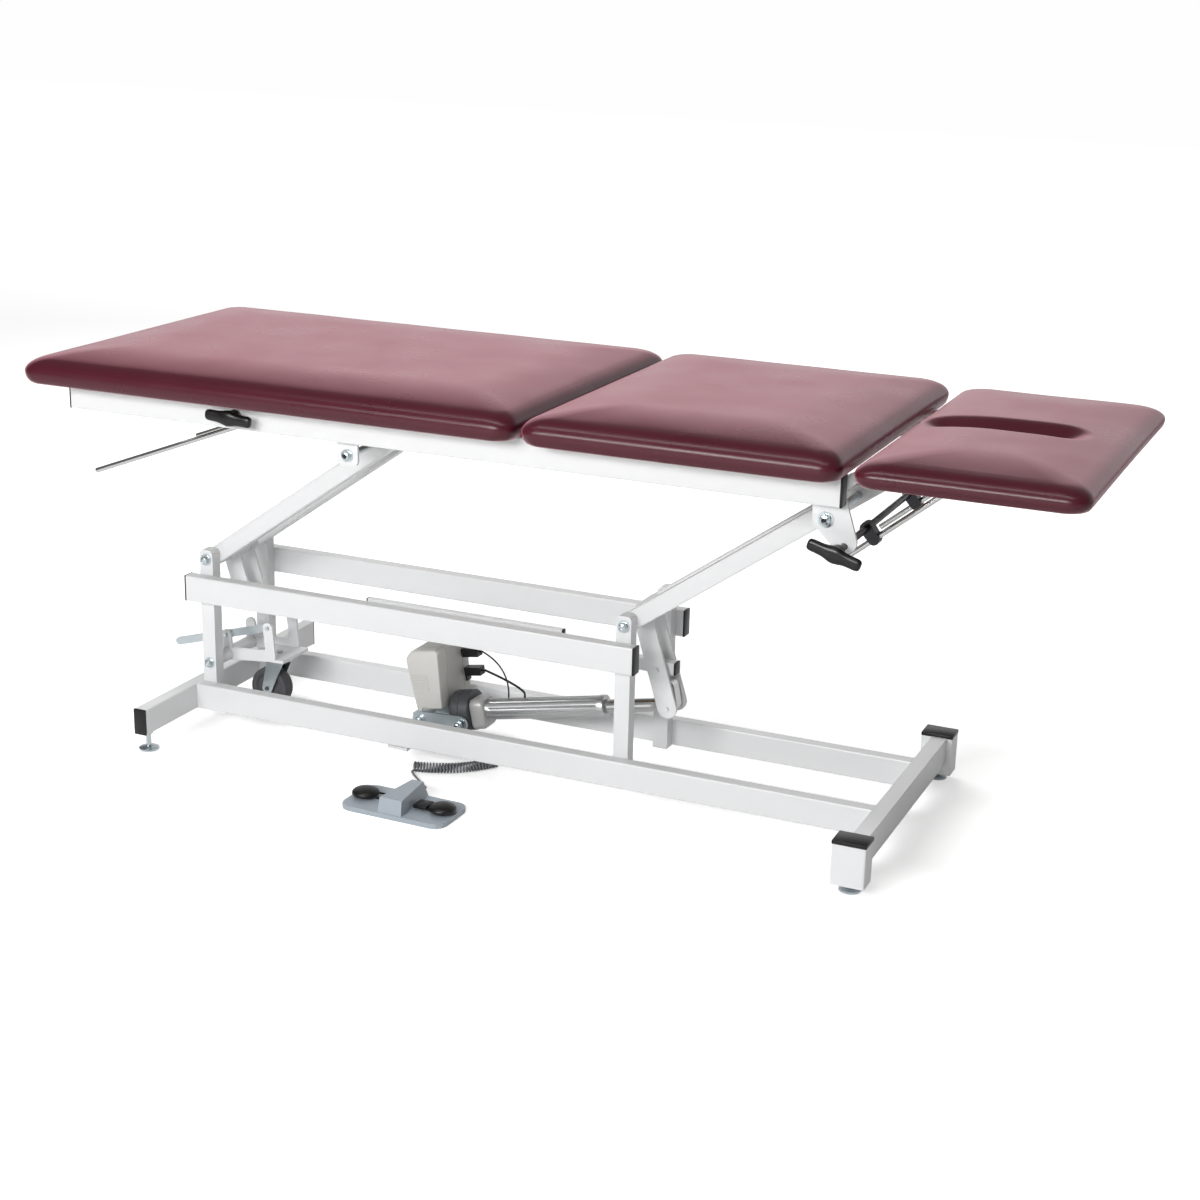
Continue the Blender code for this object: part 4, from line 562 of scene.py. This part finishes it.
RAIL_Y, TOP_Y = 0.1203, 0.2653
RAIL_CAP, TIE_CAP = (0.0252, 0.0506), (0.0232, 0.0232)
UPPER_Z, TOP_Z, TIE_Z = 0.2765, 0.6647, 0.22995
for word, sign in (("front", -1), ("rear", 1)):
    cap("upper_rail_cap_right_" + word, spot(0.1544, sign * RAIL_Y, UPPER_Z), "X", *RAIL_CAP, "base")
    cap("upper_rail_cap_left_" + word, spot(-0.7702, sign * RAIL_Y, UPPER_Z), "X", *RAIL_CAP, "base")
    cap("beam_cap_" + word, spot(-0.7661, sign * 0.2980, 0.0611), "Y", 0.0260, 0.0506, "base")
    cap("leg_cap_" + word, spot(0.60625, sign * 0.2707, 0.0886), "Z", 0.0592, 0.0442, "base", 0.007)
    cap("top_rail_cap_right_" + word, spot(0.5537, sign * TOP_Y, TOP_Z), "X", *RAIL_CAP, "top_frame")
    cap("top_rail_cap_left_" + word, spot(-0.9014, sign * TOP_Y, TOP_Z), "X", *RAIL_CAP, "top_frame")
cap("tie_cap_right", spot(0.1855, 0, TIE_Z), "X", *TIE_CAP, "tie")
cap("tie_cap_left", spot(-0.7352, 0, TIE_Z), "X", *TIE_CAP, "tie")
cap("box_bar_cap_right", spot(-0.0565, 0.0400, 0.2474), "X", 0.0122, 0.0136, "base", 0.003)
cap("box_bar_cap_left", spot(-0.4705, 0.0400, 0.2474), "X", 0.0122, 0.0136, "base", 0.003)


# %% [markdown]
# Pivot bolts. Each is a washer, a domed head and a hexagonal socket, turned from a
# profile; a black piece fills the socket's recess, which is painted shade. The face is how
# far the outer side of the post stands from the middle plane.

# %% Pivot bolts
def bolt(name, x, z, face, sign, body, radius=0.0115):
    centre = spot(x, sign * face, z)
    head = [(1, 0.0003), (1, 0.0016), (0.72, 0.0018), (0.72, 0.0060), (0.60, 0.0088),
            (0.36, 0.0097), (0.34, 0.0072)]
    socket = [(0.335, 0.0050), (0.335, 0.0084), (0.2, 0.0080)]
    mesh = lathe(centre, (0, sign, 0), [(radius * share, rise) for share, rise in head], 36)
    part(name, mesh, ZINC, body)
    # Painted shade: a black piece darkens the hex recess of the zinc head.
    mesh = lathe(centre, (0, sign, 0), [(radius * share, rise) for share, rise in socket], 6)
    part(name + "_socket", mesh, BLACK, body)


for word, sign in (("front", -1), ("rear", 1)):
    bolt("post_bolt_left_" + word, -0.7386, 0.3306, 0.1073, sign, "base")
    bolt("post_bolt_right_" + word, 0.1249, 0.3306, 0.1073, sign, "base")
    bolt("caster_bolt_" + word, -0.7386, 0.1234, 0.1073, sign, "base", 0.0105)
    bolt("upper_bolt_left_" + word, -0.3396, 0.6123, 0.2531, sign, "top_frame")
    bolt("upper_bolt_right_" + word, 0.5239, 0.6123, 0.2531, sign, "top_frame", 0.0130)
bolt("link_bolt_anchor", -0.3120, 0.0600, 0.0457, -1, "base", 0.0100)
bolt("link_bolt_pivot", -0.2290, 0.0642, 0.0500, -1, "base", 0.0095)
print("trim made")


# %% [markdown]
# Handles: a black T grip on a hub, thick in the middle, with a waist on each side and
# blunt round tips. A loft of squarish rings gives the bone shape.

# %% Clamp handles
RAIL_FACE = -0.295
GRIP_OUT = 0.0085
GRIP_HALF = 0.0455
GRIP_SQUARE = 0.8


def grip(name, node, body, x, z, angle):
    along = Vector((math.cos(angle), 0, math.sin(angle)))
    over = Vector((-math.sin(angle), 0, math.cos(angle)))
    centre = spot(x, RAIL_FACE - GRIP_OUT, z)
    rings = []
    for k in range(33):
        s = math.sin(math.pi / 2 * (-1 + 2 * k / 32))
        reach = GRIP_HALF * s
        end = (1 - abs(s) ** 14) ** 0.35 if abs(s) < 1 else 0.0
        waist = math.exp(-(s / 0.30) ** 2)
        tall = (0.0094 + 0.0048 * waist + 0.0008 * abs(s)) * (0.25 + 0.75 * end)
        wide = (0.0066 + 0.0018 * waist) * (0.35 + 0.65 * end)
        ring = []
        for m in range(24):
            t = math.tau * m / 24
            cs, sn = math.cos(t), math.sin(t)
            ring.append(centre + along * reach + over * tall * math.copysign(abs(cs) ** GRIP_SQUARE, cs)
                        + Vector((0, 1, 0)) * wide * math.copysign(abs(sn) ** GRIP_SQUARE, sn))
        rings.append(ring)
    mesh = loft(rings)
    hub = [(0.0104, 0), (0.0118, 0.0012), (0.0118, 0.012), (0.0100, 0.020)]
    lathe(spot(x, RAIL_FACE + 0.0128, z), (0, -1, 0), hub, 40, mesh)
    part(name, mesh, BLACK, body, (node,))


grip("long_grip", "long_clamp_handle", "long_handle_unit", -0.5468, 0.6643, math.radians(-4))
grip("head_grip", "head_clamp_handle", "head_handle_unit", 0.5560, 0.5720, math.radians(-17))


# %% [markdown]
# The drive. The real actuator is a dark gear drum, a pale cast sleeve and a fluted
# aluminium tube with a plain collar, all on one sloping line. The control box beside it
# is a moulded case in three shells, so its rings dip where the shells meet. Its front
# has six ribs, and a mains inlet sits on its side.

# %% Actuator
DRIVE_ANGLE = math.radians(11.2)
DRIVE_AHEAD = Vector((math.cos(DRIVE_ANGLE), 0, math.sin(DRIVE_ANGLE)))
CRANK_PIN = Vector((0.1790, 0, 0.1600))


def drive(reach):
    return CRANK_PIN + DRIVE_AHEAD * (reach - 0.4220) + SHIFT


def fluted_tube():
    rings = []
    turn = Vector((0, 0, 1)).rotation_difference(DRIVE_AHEAD).to_matrix()
    for reach, deep in ((0.0475, 0), (0.0545, 0), (0.0560, 1), (0.2760, 1), (0.2775, 0)):
        ring = []
        for k in range(120):
            t = math.tau * k / 120
            wave = max(0.0, math.cos(10 * t)) ** 3
            radius = 0.0200 - 0.0015 * deep * wave
            ring.append(drive(reach) + turn @ Vector((radius * math.cos(t), radius * math.sin(t), 0)))
        rings.append(ring)
    for reach, radius in ((0.2790, 0.0200), (0.2800, 0.0212), (0.2905, 0.0212), (0.2915, 0.0204),
                          (0.2915, 0.0132), (0.2700, 0.0132)):
        ring = []
        for k in range(120):
            t = math.tau * k / 120
            ring.append(drive(reach) + turn @ Vector((radius * math.cos(t), radius * math.sin(t), 0)))
        rings.append(ring)
    part("fluted_tube", loft(rings), ALUMINIUM, "base", ("actuator_tube",))


# %% Gear drum and sleeve
def squared(reach, high, wide, drop, corner):
    over = Vector((-math.sin(DRIVE_ANGLE), 0, math.cos(DRIVE_ANGLE)))
    points = outline_box((-wide, wide), (-high - drop, high - drop), corner)
    return [drive(reach) + Vector((0, u, 0)) + over * v for u, v in points]


def gearbox():
    profile = [(0.0300, -0.0215), (0.0350, -0.0205), (0.0378, -0.0180), (0.0385, -0.0140),
               (0.0385, -0.0020), (0.0374, -0.0010), (0.0374, 0.0010), (0.0385, 0.0020),
               (0.0385, 0.0188)]
    mesh = lathe(drive(0), DRIVE_AHEAD, profile, 72)
    pin = [(0.0125, -0.0385), (0.0135, -0.0375), (0.0135, 0.0375), (0.0125, 0.0385)]
    lathe(spot(-0.2290, 0, 0.0642), (0, 1, 0), pin, 40, mesh)
    part("gear_drum", mesh, DRUM, "base", ("actuator_motor",))
    sections = [(0.0189, 0.0250, 0.0235, 0.0045, 0.010), (0.0200, 0.0282, 0.0262, 0.0045, 0.012),
                (0.0225, 0.0290, 0.0270, 0.0045, 0.012), (0.0400, 0.0290, 0.0270, 0.0045, 0.012),
                (0.0450, 0.0272, 0.0255, 0.0040, 0.012), (0.0474, 0.0235, 0.0225, 0.0020, 0.012)]
    mesh = loft([squared(*section) for section in sections])
    part("gear_sleeve", mesh, CAST, "base")


# %% Control box
CASE_TILT = math.radians(9.5)
CASE_X, CASE_Z = -0.3020, 0.1395
CASE_OUTLINE = [(0.0350, 0.0515), (0.0290, 0.0575), (-0.0200, 0.0575),
                (-0.0350, 0.0425), (-0.0270, -0.0575), (0.0270, -0.0575)]
CASE_CORNER = 0.003
CASE_HALF = 0.035


def case_ring(y, inset):
    corners = [Vector((*corner, 0)) for corner in CASE_OUTLINE]
    ring = []
    for k, c in enumerate(corners):
        before, after = corners[k - 1], corners[(k + 1) % len(corners)]
        a = c + (before - c).normalized() * CASE_CORNER
        b = c + (after - c).normalized() * CASE_CORNER
        for p in bend(a, c, b, 4):
            p = p * (1 - inset / CASE_HALF)
            ring.append(spot(CASE_X + p.x * math.cos(CASE_TILT) - p.y * math.sin(CASE_TILT), y,
                             CASE_Z + p.x * math.sin(CASE_TILT) + p.y * math.cos(CASE_TILT)))
    return ring


def control_case():
    steps = [(-0.0450, 0.0035), (-0.0440, 0.0012), (-0.0415, 0.0), (-0.0105, 0.0), (-0.0100, 0.0012),
             (-0.0085, 0.0012), (-0.0080, 0.0), (0.0500, 0.0), (0.0505, 0.0010), (0.0520, 0.0010),
             (0.0525, 0.0), (0.0745, 0.0), (0.0780, 0.0035)]
    mesh = loft([case_ring(y, inset) for y, inset in steps])
    gland = [(0.0044, 0.0710), (0.0050, 0.0718), (0.0050, 0.0850)]
    lathe(spot(BOX_GLAND.x, BOX_GLAND.y, 0), (0, 0, 1), gland, 32, mesh)
    for sign in (-1, 1):
        low = spot(-0.3160, sign * 0.0434 - 0.0015, 0.0768)
        block(low, low + Vector((0.0080, 0.0030, 0.0132)), 0.0004, None, mesh)
    tilt = Matrix.Translation(spot(CASE_X, 0, CASE_Z)) @ Matrix.Rotation(-CASE_TILT, 4, "Y")
    for k in range(6):
        low = 0.0065 - 0.0058 * k
        block((-0.0295 + 0.0006 * k, -0.0465, low), (0.0060, -0.0440, low + 0.0026), 0.0005, tilt, mesh)
    part("control_case", mesh, GREY, "base", ("control_box",))
    return tilt


def mains_inlet(tilt):
    inlet = block((0.0296, 0.0560, -0.0330), (0.0330, 0.0740, -0.0130), 0.0008, tilt)
    for y in (0.0605, 0.0675):
        block((0.0300, y, -0.0270), (0.0334, y + 0.0020, -0.0190), 0.0003, tilt, inlet)
    part("mains_inlet", inlet, BLACK, "base")


fluted_tube()
gearbox()
mains_inlet(control_case())
print("drive made")


# %% [markdown]
# Round rods. Each support is one chromed rod, bent to a U that runs down one side,
# across at the pivot and back on the other. It is drawn as a ring of points carried
# along the same centre line as the solid, with softer bends.

# %% Support rods
def tube(path, radius, steps=20):
    rings = []
    side = (path[1] - path[0]).normalized().orthogonal().normalized()
    for k, point in enumerate(path):
        before = path[max(0, k - 1)]
        after = path[min(len(path) - 1, k + 1)]
        ahead = (after - before).normalized()
        side = (side - ahead * side.dot(ahead)).normalized()
        up = ahead.cross(side)
        turns = [math.tau * m / steps for m in range(steps)]
        rings.append([point + (side * math.cos(t) + up * math.sin(t)) * radius for t in turns])
    return loft(rings)


ROD_RADIUS = 0.0048
ROD_BEND = 0.01


def support(name, node, body, corners, y, share):
    front = [Vector((a, -y, b)) for a, b in corners]
    rear = [Vector((a, y, b)) for a, b in reversed(corners)]
    pivot = front[-1]
    if len(corners) > 2:
        front, rear = bent_path(front, share, 8), bent_path(rear, share, 8)
    cross_a, cross_b = pivot + Vector((0, ROD_BEND, 0)), pivot + Vector((0, 2 * y - ROD_BEND, 0))
    back = (front[-2] - pivot).normalized() * ROD_BEND
    path = front[:-1] + bend(pivot + back, pivot, cross_a, 6)
    far = rear[0]
    path += bend(cross_b, far, far + (rear[1] - far).normalized() * ROD_BEND, 6) + rear[1:]
    part(name, tube([p + SHIFT for p in path], ROD_RADIUS), CHROME, body, (node,))


def ahead_of(tail, length, angle):
    return (tail[0] + length * math.cos(angle), tail[1] + length * math.sin(angle))


LONG_TAIL, LONG_PIVOT = (-0.9370, 0.4940), (-0.0200, 0.6500)
LONG_ELBOW = ahead_of(LONG_TAIL, 0.47, math.radians(20.8))
HEAD_TAIL = (0.5080, 0.5050)
HEAD_PIVOT = ahead_of(HEAD_TAIL, 0.27, math.radians(39.2))
support("long_rods", "long_support", "long_rods", [LONG_TAIL, LONG_ELBOW, LONG_PIVOT], 0.165, 0.08)
support("head_rods", "head_support", "head_rods", [HEAD_TAIL, HEAD_PIVOT], 0.125, 1)
print("rods made")


# %% [markdown]
# Turned pieces. The caster wheel has a grey tread with rounded shoulders and a dished
# hub, the levelling feet are a plate, a nut and a screw, and the foot buttons are black
# domes. Each is one profile swept round its axis. Two thin arms and, on the right, a
# small block join each button to the housing, and they move with the button.

# %% Wheel, feet and buttons
BUTTON_REACH = 0.078


def wheel():
    centre = spot(-0.6670, 0, 0.0540)
    half = [(0.0040, 0.0215), (0.0040, 0.0166), (0.0100, 0.0164), (0.0104, 0.0120),
            (0.0250, 0.0112), (0.0275, 0.0140), (0.0290, 0.0150), (0.0350, 0.0150),
            (0.0385, 0.0135), (0.0398, 0.0105), (0.0400, 0.0060)]
    profile = [(r, -z) for r, z in half] + list(reversed(half))
    mesh = lathe(centre, (0, 1, 0), profile, 72)
    part("wheel", mesh, TYRE, "caster_wheel_unit", ("caster_wheel",))


def foot(name, node, body, x, y, under):
    profile = [(0.0180, 0.0), (0.0190, 0.0012), (0.0188, 0.0036), (0.0120, 0.0062), (0.0050, 0.0070),
               (0.0050, under - 0.0043), (0.0090, under - 0.0042), (0.0090, under - 0.0004),
               (0.0050, under - 0.0003), (0.0050, under + 0.0300)]
    part(name, lathe(spot(x, y, 0), (0, 0, 1), profile, 36), ZINC, body, (node,))


def button(name, node, body, side):
    across = Vector((math.cos(PEDAL_TURN), math.sin(PEDAL_TURN), 0))
    centre = PEDAL_PLACE + SHIFT + across * side * BUTTON_REACH
    profile = [(0.0080, 0.0062), (0.0080, 0.0129), (0.0230, 0.0130), (0.0245, 0.0146)]
    for k in range(11):
        t = math.pi / 2 * k / 10
        profile.append((0.0003 + 0.0242 * math.cos(t), 0.0175 + 0.0085 * math.sin(t)))
    part(name, lathe(centre, (0, 0, 1), profile, 56), BLACK, body, (node,))


def pedal_arms(name, body, side):
    place = Matrix.Translation(PEDAL_PLACE + SHIFT) @ Matrix.Rotation(PEDAL_TURN, 4, "Z")
    mesh = bmesh.new()
    for y in (-0.0125, 0.0095):
        near, far = sorted((side * 0.0265, side * 0.0600))
        block((near, y, 0.0140), (far, y + 0.0030, 0.0172), 0.0006, place, mesh)
    if side > 0:
        block((0.0275, -0.0160, 0.0135), (0.0540, 0.0130, 0.0205), 0.0012, place, mesh)
    part(name, mesh, BLACK, body)


pedal_arms("left_button_arms", "left_button", -1)
pedal_arms("right_button_arms", "right_button", 1)
wheel()
for word, sign in (("front", -1), ("rear", 1)):
    for hand, x, y, under in (("left", -0.7661, 0.2743, 0.0357), ("right", 0.60625, 0.2707, 0.0138)):
        node = "foot_" + hand + "_" + word
        foot(hand + "_levelling_foot_" + word, node, node + "_unit", x, sign * y, under)
button("left_button_cap", "pedal_button_left", "left_button", -1)
button("right_button_cap", "pedal_button_right", "right_button", 1)
print("wheel, feet and buttons made")


# %% [markdown]
# Light and floor. The sky is bright low behind the table and dimmer overhead and in
# front, so that the flat tops carry a pale sheen, which the vinyl's colour also paints in
# as a painted sheen, while the front slopes stay deep red. A strip lamp above the front
# edge draws the streak along the rolls, a broad soft lamp in front lights the frame, and
# one that is kept out of the reflections fills from behind.
# The camera itself sees a plain white sky, and the floor glows a little for the camera
# alone, more so far away, so that it fades into the white and still takes the shadow.

# %% Light and floor
def world():
    sky = bpy.data.worlds.new("sky")
    bpy.context.scene.world = sky
    sky.use_nodes = True
    tree = sky.node_tree
    tree.nodes.clear()
    path = add(tree, "ShaderNodeLightPath").outputs["Is Camera Ray"]
    ways = add(tree, "ShaderNodeTexCoord").outputs["Generated"]
    split = add(tree, "ShaderNodeSeparateXYZ", Vector=ways)
    high = add(tree, "ShaderNodeMath", slot_0=split.outputs["Z"], slot_1=-0.8)
    high.operation = "MULTIPLY"
    back = add(tree, "ShaderNodeMath", slot_0=split.outputs["Y"], slot_1=high.outputs[0])
    glow = add(tree, "ShaderNodeMapRange", Value=back.outputs[0], From_Min=0.20, From_Max=0.70,
               To_Min=0.16, To_Max=0.84)
    plain = add(tree, "ShaderNodeBackground", Color=(1, 1, 1, 1), Strength=glow.outputs[0]).outputs[0]
    seen = add(tree, "ShaderNodeBackground", Color=(0.99, 0.99, 0.99, 1), Strength=1.0).outputs[0]
    mixed = tree.nodes.new("ShaderNodeMixShader")
    tree.links.new(path, mixed.inputs[0])
    tree.links.new(plain, mixed.inputs[1])
    tree.links.new(seen, mixed.inputs[2])
    out = tree.nodes.new("ShaderNodeOutputWorld")
    tree.links.new(mixed.outputs[0], out.inputs["Surface"])


def lamp(name, place, target, size, power, mirrored=True):
    data = bpy.data.lights.new(name, "AREA")
    data.shape = "RECTANGLE"
    data.size, data.size_y = size
    data.energy = power
    item = bpy.data.objects.new(name, data)
    bpy.context.scene.collection.objects.link(item)
    item.location = place
    item.rotation_euler = (Vector(target) - Vector(place)).to_track_quat("-Z", "Y").to_euler()
    item.visible_glossy = mirrored


def floor():
    mesh = bmesh.new()
    bmesh.ops.create_grid(mesh, x_segments=2, y_segments=2, size=14)
    data = bpy.data.meshes.new("floor")
    mesh.to_mesh(data)
    mesh.free()
    item = bpy.data.objects.new("floor", data)
    bpy.context.scene.collection.objects.link(item)
    look = surface("studio_floor", "F4F4F4", 0.9, grain=4, bump=0.0, drift=0.004, swing=0.02)
    tree = look.node_tree
    shader = tree.nodes["Principled BSDF"]
    shader.inputs["Specular IOR Level"].default_value = 0.0
    shader.inputs["Emission Color"].default_value = (1, 1, 1, 1)
    ray = add(tree, "ShaderNodeLightPath").outputs["Is Camera Ray"]
    place = add(tree, "ShaderNodeTexCoord").outputs["Object"]
    far = add(tree, "ShaderNodeSeparateXYZ", Vector=place).outputs["Y"]
    rise = add(tree, "ShaderNodeMapRange", Value=far, From_Min=0.6, From_Max=5.0,
               To_Min=0.44, To_Max=0.90).outputs[0]
    lift = add(tree, "ShaderNodeMapRange", Value=ray, To_Max=rise).outputs[0]
    tree.links.new(lift, shader.inputs["Emission Strength"])
    data.materials.append(look)
    item.location.z = FLOOR - 0.0002


world()
floor()
lamp("front_soft", (-0.5, -4.0, 2.0), (0, 0, 0.3), (2.8, 1.0), 138)
lamp("top_strip", (0.0, -0.9, 3.0), (0, -0.2, 0.6), (3.0, 0.35), 20)
lamp("rear_soft", (-1.6, 2.6, 2.6), (0, 0, 0.6), (3.0, 1.2), 80, mirrored=False)
